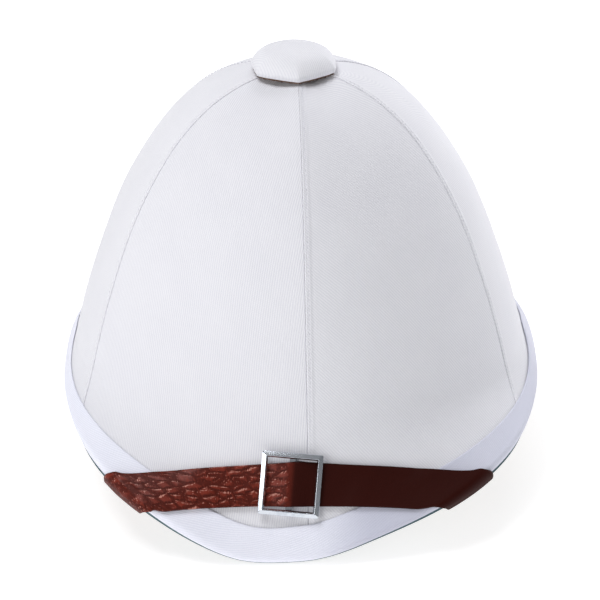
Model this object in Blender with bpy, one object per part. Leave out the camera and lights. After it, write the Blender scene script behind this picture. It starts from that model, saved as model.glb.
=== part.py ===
"""White six panel pith helmet with its leather strap worn up over the front peak.

Metres, +Z up. The front peak looks along -Y and the helmet stands on its two peaks at z = 0.
Every layer is lofted from one outer cloth surface, so the crown, brim and rim stay in step.
"""
import math

import bmesh
import bpy
import numpy as np

# Plan of the rim and of the crown where it meets the brim
RIM_HALF_WIDTH = 0.1300
RIM_LEFT_TRIM = 0.0015
PEAK_REACH = 0.151
REAR_REACH = 0.177
CROWN_HALF_WIDTH = 0.1250
CROWN_FRONT_REACH = 0.1235
CROWN_REAR_REACH = 0.137

# Heights above the datum of the crown, and the rim's rise from its lowest part, which is a drop below it
CROWN_BASE_HEIGHT = 0.056
CROWN_TOP_HEIGHT = 0.2065
SIDE_RISE = 0.0444
RIM_DROP = 0.0034

# How far the crown's top sits behind its base, and the tip of the peak left of the middle:
# a shift of the rim there, and a turn of its lowest point
CROWN_SETBACK = 0.004
PEAK_LEAN = 0.006
PEAK_TURN = 2.0

# Shape of the rim: plan sharpness, rise sharpness and its soft start, shares that are level,
# and the share of the brim's height over which the crown's wall runs on before it flares
PEAK_SHARPNESS = 0.74
REAR_SHARPNESS = 0.92
RISE_SHARPNESS = 0.60
RISE_SOFTNESS = 0.125
PEAK_LEVEL = 0.070
REAR_LEVEL = 0.171
FLARE_START = 0.52

# Flattening of each cloth panel between its two seams
PANEL_FLATNESS = 0.0022

# Layers from the outside in
TAPE = 0.0008
CLOTH = 0.0010
SHELL_WALL = 0.0030
LINING = 0.0008
GAP = 0.0003
SEAM_GAP = 0.0004

# Edge binding and lining
BINDING_WIDTH = 0.0150
LINING_LIP = 0.0025
LINING_BEVEL = 0.0005

# Vent hole, collar and button on the crown
VENT_RADIUS = 0.0090
COLLAR_RADIUS = 0.0140
COLLAR_RISE = 0.0008
COLLAR_SEAT = 0.0002
COLLAR_DEPTH = 0.0080
COLLAR_ROOM = 0.0015
BUTTON_RADIUS = 0.0252
BUTTON_DROP = 0.0003
BUTTON_SHIFT = -0.0018
BUTTON_EDGE = 0.0030
BUTTON_DOME = 0.0076
BUTTON_CORNER = 0.0070

# Chin strap: height of its lower edge where it folds, the fold's length up the rim as a share of
# its width, how far its lower edge drops between the folds and leans outwards, how far its
# upper edge dips by the folds, and how far it travels in the fold
STRAP_WIDTH = 0.0238
STRAP_THICKNESS = 0.0020
STRAP_HEIGHT = 0.0198
STRAP_FOLD_SHARE = 0.41
STRAP_DROP = 0.0013
STRAP_LEAN = 0.0018
STRAP_DIP = 0.0266
STRAP_FOLD_REACH = 0.0042
STRAP_FOLD_DRIFT = 5.0
STRAP_SEAT = 0.0005
HIDDEN_SEAT = 0.0017

# Slide buckle: bars of the frame, hidden middle bar, room beside the strap, and its place
BUCKLE_LENGTH = 0.0316
BUCKLE_RIM = 0.0031
BUCKLE_THICKNESS = 0.0019
BUCKLE_BAR = 0.0012
BUCKLE_BAR_WIDTH = 0.0030
BUCKLE_REST = 0.0004
BUCKLE_ROOM = 0.0014
BUCKLE_SEAT = 0.0009
BUCKLE_CORNER = 0.0012
BUCKLE_TILT = 7.3
BUCKLE_SHIFT = -0.0023

# Studs that hold the strap's ends to the shell
STUD_RADIUS = 0.0015
STUD_HEAD_RADIUS = 0.0045
STUD_HEAD = 0.0012
STUD_BITE = 0.0018

# Seams as angles round the crown from the front, positive to the right of the photo
SEAMS = {
    "front": 1.8,
    "right": 62.5,
    "right_rear": 121.0,
    "rear": 180.0,
    "left_rear": 239.0,
    "left": 297.0,
}

# Crown outline: share of the crown's height, share of its base width
CROWN_ROWS = (
    {"height": 0.000, "width": 1.000},
    {"height": 0.158, "width": 0.948},
    {"height": 0.337, "width": 0.876},
    {"height": 0.515, "width": 0.789},
    {"height": 0.673, "width": 0.682},
    {"height": 0.812, "width": 0.552},
    {"height": 0.911, "width": 0.405},
    {"height": 0.966, "width": 0.262},
    {"height": 1.000, "width": 0.000},
)

# The strap's hidden run up the inside: angle, station and climb of its middle line
HIDDEN_RUN = (
    {"angle": 47.0, "station": 0.085, "climb": 42.0},
    {"angle": 53.5, "station": 0.150, "climb": 42.0},
    {"angle": 60.0, "station": 0.215, "climb": 42.0},
    {"angle": 66.5, "station": 0.280, "climb": 44.0},
    {"angle": 73.0, "station": 0.335, "climb": 48.0},
    {"angle": 78.0, "station": 0.375, "climb": 52.0},
    {"angle": 82.5, "station": 0.420, "climb": 55.0},
    {"angle": 86.0, "station": 0.460, "climb": 56.0},
)
STUD_ROW = 6

# Mesh steps: rows on the crown, columns in each panel, and how they crowd to the front seam
CROWN_STEPS = 11
PANEL_COLUMNS = 8
COLUMN_CROWDING = 1.25

BRIM_END = 0.3


def hermite_slopes(xs, ys):
    """Slopes that keep a curve through the rows free of bumps."""
    step = np.diff(xs)
    rise = np.diff(ys) / step
    slopes = np.zeros(len(xs))
    slopes[0] = rise[0]
    slopes[-1] = rise[-1]
    for i in range(1, len(xs) - 1):
        if rise[i - 1] * rise[i] > 0:
            near = 2 * step[i] + step[i - 1]
            far = step[i] + 2 * step[i - 1]
            slopes[i] = (near + far) / (near / rise[i - 1] + far / rise[i])
    return slopes


ROW_HEIGHTS = np.array([row["height"] for row in CROWN_ROWS])
ROW_AREAS = np.array([row["width"] ** 2 for row in CROWN_ROWS])
ROW_SLOPES = hermite_slopes(ROW_HEIGHTS, ROW_AREAS)


def crown_width(height):
    """Width share of the crown at a share of its height."""
    height = min(max(height, 0.0), 1.0)
    i = min(int(np.searchsorted(ROW_HEIGHTS, height, side="right")) - 1, len(ROW_HEIGHTS) - 2)
    step = ROW_HEIGHTS[i + 1] - ROW_HEIGHTS[i]
    q = (height - ROW_HEIGHTS[i]) / step
    area = (
        (1 + 2 * q) * (1 - q) ** 2 * ROW_AREAS[i]
        + q * (1 - q) ** 2 * step * ROW_SLOPES[i]
        + q * q * (3 - 2 * q) * ROW_AREAS[i + 1]
        + q * q * (q - 1) * step * ROW_SLOPES[i + 1]
    )
    return math.sqrt(max(area, 0.0))


WALL_SLOPE = (1 - crown_width(0.001)) / 0.001


def seam_share(angle):
    """Share of the way from one seam to the next."""
    marks = [SEAMS[name] for name in ("front", "right", "right_rear", "rear", "left_rear", "left")]
    marks.append(marks[0] + 360)
    turn = (angle - marks[0]) % 360 + marks[0]
    for low, high in zip(marks[:-1], marks[1:]):
        if turn <= high:
            return (turn - low) / (high - low)
    return 0.0


def outer(angle, station):
    """Point of the outer cloth surface: station 0 is the rim, BRIM_END the crown's base, 1 its top."""
    turn = math.radians(angle)
    side, ahead = math.sin(turn), math.cos(turn)
    front = ahead >= 0
    base_reach = CROWN_FRONT_REACH if front else CROWN_REAR_REACH
    base = np.array([CROWN_HALF_WIDTH * side, -base_reach * ahead, CROWN_BASE_HEIGHT])
    if station >= BRIM_END:
        share = math.sin((station - BRIM_END) / (1 - BRIM_END) * math.pi / 2)
        width = crown_width(share)
        height = CROWN_BASE_HEIGHT + (CROWN_TOP_HEIGHT - CROWN_BASE_HEIGHT) * share
        point = np.array([base[0] * width, base[1] * width + CROWN_SETBACK * share, height])
        fade = 1.0
    else:
        rim = rim_point(angle)
        drop = base[2] - rim[2]
        grow = 1 + WALL_SLOPE * FLARE_START * drop / (CROWN_TOP_HEIGHT - CROWN_BASE_HEIGHT)
        bend = np.array([base[0] * grow, base[1] * grow, base[2] - FLARE_START * drop])
        q = 1 - station / BRIM_END
        point = (1 - q) ** 2 * base + 2 * q * (1 - q) * bend + q * q * rim
        fade = 0.5 + 0.5 * math.cos(math.pi * q)
    flat = PANEL_FLATNESS / CROWN_HALF_WIDTH * math.sin(math.pi * seam_share(angle)) * fade
    return np.array([point[0] * (1 - flat), point[1] * (1 - flat), point[2]])


def rim_way(angle):
    """Angle, turned towards the tip of the peak, that sets how far the rim reaches and how it rises."""
    ahead = math.cos(math.radians(angle))
    return math.radians(angle + PEAK_TURN * max(ahead, 0.0) ** 12)


def rim_level(angle):
    """Sideways share up to which the rim is level, at the peak or at the rear."""
    return PEAK_LEVEL if math.cos(math.radians(angle)) >= 0 else REAR_LEVEL


def rim_point(angle):
    """Point of the rim, with its two level stretches at the front and the back."""
    turn, way = math.radians(angle), rim_way(angle)
    side, ahead = math.sin(turn), math.cos(turn)
    front = ahead >= 0
    sharpness = PEAK_SHARPNESS if front else REAR_SHARPNESS
    width = RIM_HALF_WIDTH if side >= 0 else RIM_HALF_WIDTH - RIM_LEFT_TRIM
    x = width * math.copysign(abs(side) ** sharpness, side)
    if front:
        x -= PEAK_LEAN * ahead ** 4
    reach = PEAK_REACH if front else REAR_REACH
    y = -reach * math.copysign(abs(math.cos(way)) ** sharpness, ahead)
    level = rim_level(angle)
    rise = max(0.0, (abs(math.sin(way)) - level) / (1 - level))
    soft = ((1 + RISE_SOFTNESS) * rise / (rise + RISE_SOFTNESS)) ** 0.8
    return np.array([x, y, SIDE_RISE * soft * rise ** RISE_SHARPNESS - RIM_DROP])


def frame(angle, station):
    """Point, outward normal and direction out past the rim at one place of the surface."""
    step_angle, step_station = 0.4, 0.004
    point = outer(angle, station)
    round_way = outer(angle + step_angle, station) - outer(angle - step_angle, station)
    low = max(station - step_station, 0.0)
    high = min(station + step_station, 1.0)
    up_way = outer(angle, high) - outer(angle, low)
    up_way = up_way / np.linalg.norm(up_way)
    normal = np.cross(round_way, up_way)
    normal = normal / np.linalg.norm(normal)
    return point, normal, -up_way


def place(angle, station, reach, offset):
    """Point lifted off the surface along its normal, and past the rim by a reach."""
    point, normal, out = frame(angle, station)
    return point + normal * offset + out * reach


def station_at_height(angle, height):
    """Station of the brim at which its surface passes a height."""
    low, high = 0.0, BRIM_END
    for _ in range(30):
        middle = (low + high) / 2
        if outer(angle, middle)[2] < height:
            low = middle
        else:
            high = middle
    return (low + high) / 2


def station_at_width(angle, width):
    """Station whose distance from the rim, measured over the surface, is a width."""
    station, walked = 0.0, 0.0
    point = outer(angle, 0.0)
    while walked < width and station < 1:
        ahead = outer(angle, station + 0.004)
        step = float(np.linalg.norm(ahead - point))
        if walked + step >= width:
            return station + 0.004 * (width - walked) / step
        walked += step
        station += 0.004
        point = ahead
    return station


def top_station(radius):
    """Station at which the crown's ring has closed to a radius."""
    low, high = BRIM_END, 1.0
    for _ in range(30):
        middle = (low + high) / 2
        share = math.sin((middle - BRIM_END) / (1 - BRIM_END) * math.pi / 2)
        if CROWN_HALF_WIDTH * crown_width(share) > radius:
            low = middle
        else:
            high = middle
    return (low + high) / 2


def panel_angles(first, last):
    """Column angles of one panel between its two seams."""
    start = SEAMS[first]
    end = SEAMS[last]
    if end < start:
        end += 360
    shares = [i / PANEL_COLUMNS for i in range(PANEL_COLUMNS + 1)]
    if first == "front":
        shares = [share ** COLUMN_CROWDING for share in shares]
    if last == "front":
        shares = [1 - (1 - share) ** COLUMN_CROWDING for share in shares]
    return [start + (end - start) * share for share in shares]


def ring_angles():
    """Column angles of every layer that goes all the way round."""
    names = list(SEAMS)
    angles = []
    for first, last in zip(names, names[1:] + names[:1]):
        angles += panel_angles(first, last)[:-1]
    return angles


def brim_rows(angle):
    """Brim rows that every layer shares, so that their facets run side by side: one lies at the tape's edge."""
    edge = station_at_width(angle, BINDING_WIDTH)
    return [0.0, edge / 2, edge, (edge + BRIM_END) / 2, BRIM_END]


def crown_rows(top):
    """Crown rows above the brim, up to a top station."""
    return [BRIM_END + (top - BRIM_END) * (i + 1) / CROWN_STEPS for i in range(CROWN_STEPS)]


def add_object(name, points, faces, colour, metallic=0.0, roughness=0.8):
    """Object with its own plain material, with its faces turned outwards."""
    mesh = bpy.data.meshes.new(name)
    mesh.from_pydata([tuple(float(c) for c in p) for p in points], [], faces)
    mesh.validate()
    material = bpy.data.materials.new(name)
    material.use_nodes = True
    shader = material.node_tree.nodes["Principled BSDF"]
    shader.inputs["Base Color"].default_value = (*colour, 1.0)
    shader.inputs["Metallic"].default_value = metallic
    shader.inputs["Roughness"].default_value = roughness
    mesh.materials.append(material)
    made = bpy.data.objects.new(name, mesh)
    bpy.context.scene.collection.objects.link(made)
    return made


def loft(sections, levels, closed_way):
    """Points and triangles through equal sections, capped unless the way is closed.

    The levels say which row of the surface each point of a section belongs to. Each pair of
    triangles is split from the lower row of one column to the upper row of the next, so that
    the facets of neighbouring layers stay parallel.
    """
    count, size = len(sections), len(sections[0])
    points = [p for section in sections for p in section]
    faces = []
    for i in range(count if closed_way else count - 1):
        a, b = i * size, (i + 1) % count * size
        for j in range(size):
            k = (j + 1) % size
            if levels[j] <= levels[k]:
                faces += [(a + j, b + j, b + k), (a + j, b + k, a + k)]
            else:
                faces += [(a + j, b + j, a + k), (b + j, b + k, a + k)]
    if not closed_way:
        last = (count - 1) * size
        for j in range(size // 2 - 1):
            k = size - 1 - j
            faces.append((j, j + 1, k - 1, k))
            faces.append((last + j + 1, last + j, last + k, last + k - 1))
    return points, faces


def is_level(angle):
    """True in the two stretches on which the helmet stands."""
    return abs(math.sin(rim_way(angle))) < rim_level(angle)


def layer_section(angle, rows, outside, inside, pull=0.0):
    """Closed section of a layer: its outer points from the rim up, then its inner points back down."""
    up = [place(angle_at(angle, s, pull), s, 0.0, outside) for s in rows]
    down = [place(angle_at(angle, s, pull), s, 0.0, inside) for s in reversed(rows)]
    return up + down


def there_and_back(count):
    """Levels of a section that runs up a number of rows and back down them."""
    return list(range(count)) + list(reversed(range(count)))


def angle_at(angle, station, pull):
    """Angle moved sideways by a length, for the gap that two panels leave at their seam."""
    if not pull:
        return angle
    point = outer(angle, station)
    radius = math.hypot(point[0], point[1])
    return angle + math.degrees(pull / radius)


def lining_section(angle):
    """Section of the lining under the brim, with a lip that shows past the binding."""
    low = -(CLOTH + SHELL_WALL + TAPE + 3 * GAP)
    high = -(CLOTH + SHELL_WALL + 2 * GAP)
    rows = brim_rows(angle)
    tops = [low, low, high, high, high]
    up = [place(angle, s, 0.0, t) for s, t in zip(rows, tops)]
    down = [place(angle, s, 0.0, t - LINING) for s, t in zip(rows, tops)][::-1]
    lip_side = place(angle, 0.0, LINING_LIP, low - LINING + LINING_BEVEL)
    lip_top = place(angle, 0.0, LINING_LIP, low)
    lip_under = place(angle, 0.0, LINING_LIP - LINING_BEVEL, low - LINING)
    return [lip_side, lip_top] + up + down + [lip_under]


LINING_LEVELS = [-2, -2, 0, 1, 2, 3, 4, 4, 3, 2, 1, 0, -1]


def binding_section(angle):
    """Section of the tape folded round the rim: outer face, then inner face back."""
    top = GAP + TAPE
    bottom = -(CLOTH + SHELL_WALL + 2 * GAP + TAPE)
    middle = (top + bottom) / 2
    rows = brim_rows(angle)
    turns = [math.pi * i / 4 for i in range(5)]
    faces = []
    for skin in (0.0, TAPE):
        radius = (top - bottom) / 2 - skin
        face = [place(angle, s, 0.0, top - skin) for s in (rows[2], rows[1])]
        face += [place(angle, 0.0, radius * math.sin(t), middle + radius * math.cos(t)) for t in turns]
        face.append(place(angle, rows[1], 0.0, bottom + skin))
        faces.append(face)
    return faces[0] + faces[1][::-1]


BINDING_LEVELS = [2, 1, 0, -1, -2, -1, 0, 1, 1, 0, -1, -2, -1, 0, 1, 2]


def build_shell():
    """Stiff hollow body of crown, peak and rear brim, open at the vent."""
    crown = crown_rows(top_station(VENT_RADIUS))
    outside, inside = -(CLOTH + GAP), -(CLOTH + GAP + SHELL_WALL)
    sections = [layer_section(a, brim_rows(a) + crown, outside, inside) for a in ring_angles()]
    points, faces = loft(sections, there_and_back(len(sections[0]) // 2), True)
    return add_object("shell", points, faces, (0.62, 0.50, 0.36))


def build_panel(name, first, last):
    """One cloth panel between two seams, from the rim to the collar."""
    crown = crown_rows(top_station(VENT_RADIUS + 2 * GAP + CLOTH))
    angles = panel_angles(first, last)
    pulls = [SEAM_GAP / 2] + [0.0] * (len(angles) - 2) + [-SEAM_GAP / 2]
    sections = [layer_section(a, brim_rows(a) + crown, 0.0, -CLOTH, pull) for a, pull in zip(angles, pulls)]
    points, faces = loft(sections, there_and_back(len(sections[0]) // 2), False)
    return add_object(name, points, faces, (0.83, 0.83, 0.86))


def build_lining():
    """Thin cloth under the brim, on whose front and back lips the helmet stands."""
    angles = ring_angles()
    sections = [lining_section(a) for a in angles]
    floor = min(p[2] for a, section in zip(angles, sections) if is_level(a) for p in section)
    for angle, section in zip(angles, sections):
        if is_level(angle):
            section[0][2] = floor
            section[-1][2] = floor
    points, faces = loft(sections, LINING_LEVELS, True)
    return add_object("under_brim_lining", points, faces, (0.10, 0.17, 0.18)), floor


def build_binding():
    """Cloth tape folded round the whole rim."""
    sections = [binding_section(a) for a in ring_angles()]
    points, faces = loft(sections, BINDING_LEVELS, True)
    return add_object("edge_binding", points, faces, (0.80, 0.81, 0.87))


def turned(profile, count, centre, name, colour, roughness=0.8):
    """Round solid from a profile of radius and height, closed at both ends."""
    points, faces = [], []
    for radius, height in profile:
        for i in range(count):
            turn = 2 * math.pi * i / count
            points.append((centre[0] + radius * math.sin(turn), centre[1] - radius * math.cos(turn), height))
    for j in range(len(profile) - 1):
        for i in range(count):
            k = (i + 1) % count
            faces.append((j * count + i, j * count + k, (j + 1) * count + k, (j + 1) * count + i))
    faces.append(tuple(reversed(range(count))))
    last = (len(profile) - 1) * count
    faces.append(tuple(range(last, last + count)))
    return add_object(name, points, faces, colour, 0.0, roughness)


def hexagon(radius, corner):
    """Rounded hexagon with one corner to the front, as offsets right and back."""
    outline = []
    reach = radius - corner / math.cos(math.radians(30))
    for i in range(6):
        turn = math.radians(60 * i)
        for bend in (-30, -10, 10, 30):
            way = turn + math.radians(bend)
            outline.append((
                reach * math.sin(turn) + corner * math.sin(way) / math.cos(math.radians(30)),
                -reach * math.cos(turn) - corner * math.cos(way) / math.cos(math.radians(30)),
            ))
    return outline


def build_button():
    """Cloth covered cap over the vent, dished underneath so that its edge drops round the collar."""
    outline = hexagon(BUTTON_RADIUS, BUTTON_CORNER)
    rim = CROWN_TOP_HEIGHT - BUTTON_DROP
    seat = CROWN_TOP_HEIGHT + COLLAR_RISE + GAP
    rows = (
        {"share": 0.74, "height": seat},
        {"share": 0.90, "height": rim + 0.15 * BUTTON_EDGE},
        {"share": 0.97, "height": rim},
        {"share": 1.00, "height": rim + 0.22 * BUTTON_EDGE},
        {"share": 1.00, "height": rim + 0.72 * BUTTON_EDGE},
        {"share": 0.96, "height": rim + BUTTON_EDGE},
        {"share": 0.70, "height": rim + BUTTON_EDGE + 0.58 * BUTTON_DOME},
        {"share": 0.36, "height": rim + BUTTON_EDGE + 0.90 * BUTTON_DOME},
        {"share": 0.10, "height": rim + BUTTON_EDGE + BUTTON_DOME},
    )
    points, faces = [], []
    count = len(outline)
    for row in rows:
        for x, y in outline:
            across = BUTTON_SHIFT + x * row["share"]
            points.append((across, CROWN_SETBACK + y * row["share"], row["height"]))
    for j in range(len(rows) - 1):
        for i in range(count):
            k = (i + 1) % count
            faces.append((j * count + i, j * count + k, (j + 1) * count + k, (j + 1) * count + i))
    faces.append(tuple(reversed(range(count))))
    last = (len(rows) - 1) * count
    faces.append(tuple(range(last, last + count)))
    return add_object("top_button", points, faces, (0.83, 0.83, 0.86))


def build_collar():
    """Plain collar in the vent hole, whose flange carries the button."""
    top = CROWN_TOP_HEIGHT + COLLAR_RISE
    under = CROWN_TOP_HEIGHT - COLLAR_SEAT
    profile = (
        (VENT_RADIUS - COLLAR_ROOM, CROWN_TOP_HEIGHT - COLLAR_DEPTH),
        (VENT_RADIUS - COLLAR_ROOM, under),
        (COLLAR_RADIUS, under),
        (COLLAR_RADIUS, top),
    )
    return turned(profile, 20, (0.0, CROWN_SETBACK), "button_collar", (0.45, 0.30, 0.18))


def rim_angle(height):
    """Angle in the right half at which the rim has risen to a height."""
    low, high = 0.0, 90.0
    for _ in range(30):
        middle = (low + high) / 2
        if rim_point(middle)[2] < height:
            low = middle
        else:
            high = middle
    return (low + high) / 2


def station_across(angle, start, width):
    """Station whose straight distance from a lower station is a width."""
    low, high = start, start + 0.6
    foot = outer(angle, start)
    for _ in range(30):
        middle = (low + high) / 2
        if np.linalg.norm(outer(angle, middle) - foot) < width:
            low = middle
        else:
            high = middle
    return (low + high) / 2


def fold_angles():
    """Rim angles of the strap's lower and upper edge at its fold."""
    return rim_angle(STRAP_HEIGHT), rim_angle(STRAP_HEIGHT + STRAP_FOLD_SHARE * STRAP_WIDTH)


LOW_FOLD, TOP_FOLD = fold_angles()
TOP_FOLD_HEIGHT = STRAP_HEIGHT + STRAP_FOLD_SHARE * STRAP_WIDTH
MIDDLE_LOW = station_at_height(0.0, STRAP_HEIGHT - STRAP_DROP)
MIDDLE_TOP_HEIGHT = outer(0.0, station_across(0.0, MIDDLE_LOW, STRAP_WIDTH))[2]


def strap_edges(way):
    """Angle, station and reach past the rim of the strap's two edges, a share of the way to the right fold."""
    low_angle, top_angle = LOW_FOLD * way, TOP_FOLD * way
    share = abs(way)
    low = STRAP_HEIGHT - STRAP_DROP - STRAP_LEAN * share ** 2
    top = MIDDLE_TOP_HEIGHT + (TOP_FOLD_HEIGHT - MIDDLE_TOP_HEIGHT) * share
    top -= STRAP_DIP * share ** 4 * (1 - share)
    past = max(0.0, rim_point(low_angle)[2] - low)
    return (
        (low_angle, station_at_height(low_angle, low), past),
        (top_angle, station_at_height(top_angle, top), 0.0),
    )


def smooth(low, high, value):
    """Smooth step from 0 at the low mark to 1 at the high mark."""
    q = min(max((value - low) / (high - low), 0.0), 1.0)
    return q * q * (3 - 2 * q)


def facet_rise(angle, station):
    """Height by which the brim's facets stand proud of the true surface at one place."""
    turn = angle % 360
    columns = sorted(a % 360 for a in ring_angles())
    columns = [columns[-1] - 360] + columns + [columns[0] + 360]
    left = max(a for a in columns if a <= turn)
    right = min(a for a in columns if a > turn)
    across = (turn - left) / (right - left)
    rows = brim_rows(turn)
    i = max(k for k in range(len(rows) - 1) if rows[k] <= station or k == 0)
    up = (station - rows[i]) / (rows[i + 1] - rows[i])
    flat = np.zeros(3)
    for column, weight in ((left, 1 - across), (right, across)):
        marks = brim_rows(column)
        flat += weight * ((1 - up) * outer(column, marks[i]) + up * outer(column, marks[i + 1]))
    point, normal, _ = frame(angle, station)
    return max(0.0, float(np.dot(flat - point, normal)))


def front_rung(way):
    """Three places across the strap's under face on the peak, and the way out from them."""
    edges = strap_edges(way)
    (low_angle, low_station, _), (top_angle, high_station, _) = edges
    clear = GAP + STRAP_SEAT
    over = TAPE + GAP
    places, outs, lifts = [], [], []
    for angle, station, past in edges:
        edge = station_at_width(angle, BINDING_WIDTH)
        lift = clear + over * (1 - smooth(1.02 * edge, 1.40 * edge, station))
        lift += facet_rise(angle, station)
        point, normal, out = frame(angle, station)
        places.append(point + normal * lift + out * past)
        outs.append(normal)
        lifts.append(lift)
    angle, station = (low_angle + top_angle) / 2, (low_station + high_station) / 2
    point, normal, _ = frame(angle, station)
    middle = (places[0] + places[1]) / 2
    need = max(lifts) + facet_rise(angle, station) - float(np.dot(middle - point, normal))
    middle = middle + normal * max(0.0, need)
    return [places[0], middle, places[1]], [outs[0], normal, outs[1]]


def buckle_frame():
    """Centre, way along the strap, way up the strap and way out of the buckle."""
    way = BUCKLE_SHIFT / outer(LOW_FOLD, 0.0)[0]
    (low, _, top), _ = front_rung(way)
    ahead = front_rung(way + 0.04)[0][1]
    behind = front_rung(way - 0.04)[0][1]
    along = (ahead - behind) / np.linalg.norm(ahead - behind)
    up = top - low
    up = up - along * np.dot(up, along)
    up = up / np.linalg.norm(up)
    out = np.cross(along, up)
    turn = math.radians(BUCKLE_TILT)
    tilted_along = along * math.cos(turn) - up * math.sin(turn)
    tilted_up = up * math.cos(turn) + along * math.sin(turn)
    return (low + top) / 2, tilted_along, tilted_up, out


BUCKLE = buckle_frame()


def strap_lift(point):
    """Height by which the strap climbs over the buckle's middle bar."""
    distance = abs(float(np.dot(point - BUCKLE[0], BUCKLE[1])))
    rise = BUCKLE_REST + BUCKLE_BAR + GAP
    window = BUCKLE_LENGTH / 2 - BUCKLE_RIM
    return rise * (1 - smooth(0.62 * BUCKLE_BAR_WIDTH, 0.85 * window, distance))


def depth_inside(station):
    """Depth of the strap's face below the cloth where it runs inside, clear of the layers there."""
    rim = CLOTH + SHELL_WALL + TAPE + LINING + 4 * GAP + HIDDEN_SEAT
    brim = CLOTH + SHELL_WALL + LINING + 3 * GAP + HIDDEN_SEAT
    crown = CLOTH + SHELL_WALL + 2 * GAP + HIDDEN_SEAT
    depth = rim + (brim - rim) * smooth(0.45 * BRIM_END, 0.70 * BRIM_END, station)
    return depth + (crown - brim) * smooth(1.45 * BRIM_END, 1.85 * BRIM_END, station)


def fold_rung(turn, side):
    """Three places across the strap where it goes round the rim, a share of a half turn on."""
    start = GAP + STRAP_SEAT + TAPE + GAP
    end = -depth_inside(0.0)
    middle, half = (start + end) / 2, (start - end) / 2
    bend = math.pi * turn
    reach = STRAP_FOLD_REACH * math.sin(bend) ** 0.8
    offset = middle + half * math.copysign(abs(math.cos(bend)) ** 0.8, math.cos(bend))
    places, outs = [], []
    for share in (0.0, 0.5, 1.0):
        angle = LOW_FOLD + (TOP_FOLD - LOW_FOLD) * share + STRAP_FOLD_DRIFT * turn
        point, normal, away = frame(side * angle, 0.0)
        past = (STRAP_DROP + STRAP_LEAN) * (1 - share) * max(0.0, 1 - 2 * turn)
        places.append(point + normal * offset + away * (reach + past))
        outs.append(normal * math.cos(bend) + away * math.sin(bend))
    return places, outs


def hidden_rung(row, side):
    """Three places across the strap where it runs on inside, square to its way."""
    angle, station = row["angle"], row["station"]
    per_degree = float(np.linalg.norm(outer(angle + 0.5, station) - outer(angle - 0.5, station)))
    per_station = float(np.linalg.norm(outer(angle, station + 0.005) - outer(angle, station - 0.005))) * 100
    climb = math.radians(row["climb"])
    places, outs = [], []
    for share in (1, 0, -1):
        turn = angle - share * STRAP_WIDTH / 2 * math.sin(climb) / per_degree
        rise = station + share * STRAP_WIDTH / 2 * math.cos(climb) / per_station
        rise = max(rise, 0.0)
        point, normal, _ = frame(side * turn, rise)
        places.append(point - normal * depth_inside(rise))
        outs.append(-normal)
    return places, outs


def strap_section(rung):
    """Section of the strap: its under face across, then its outer face back."""
    places, outs = rung
    over = [p + o / np.linalg.norm(o) * STRAP_THICKNESS for p, o in zip(places, outs)]
    return list(places) + over[::-1]


STRAP_LEVELS = [0, 1, 2, 2, 1, 0]


def front_ways():
    """Shares along the strap at which its sections lie, closer together at the buckle."""
    centre = BUCKLE_SHIFT / outer(LOW_FOLD, 0.0)[0]
    near = [centre + 0.021 * i for i in range(-8, 9)]
    left = [-1 + (near[0] + 1) * i / 10 for i in range(10)]
    right = [near[-1] + (1 - near[-1]) * (i + 1) / 10 for i in range(10)]
    return left + near + right


def build_strap():
    """Leather strap: up the inside, round the rim, over the peak through the buckle, and back."""
    sections = []
    for row in reversed(HIDDEN_RUN):
        sections.append(strap_section(hidden_rung(row, -1)))
    for i in range(6, 0, -1):
        sections.append(strap_section(fold_rung(i / 6, -1)))
    for way in front_ways():
        places, outs = front_rung(way)
        places = [p + BUCKLE[3] * strap_lift(p) for p in places]
        sections.append(strap_section((places, outs)))
    for i in range(1, 7):
        sections.append(strap_section(fold_rung(i / 6, 1)))
    for row in HIDDEN_RUN:
        sections.append(strap_section(hidden_rung(row, 1)))
    points, faces = loft(sections, STRAP_LEVELS, False)
    return add_object("chin_strap", points, faces, (0.16, 0.05, 0.035), 0.0, 0.45)


def buckle_point(along, up, height):
    """World place of a point in the buckle's own frame."""
    centre, way, rise, out = BUCKLE
    return centre + way * along + rise * up + out * height


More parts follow.
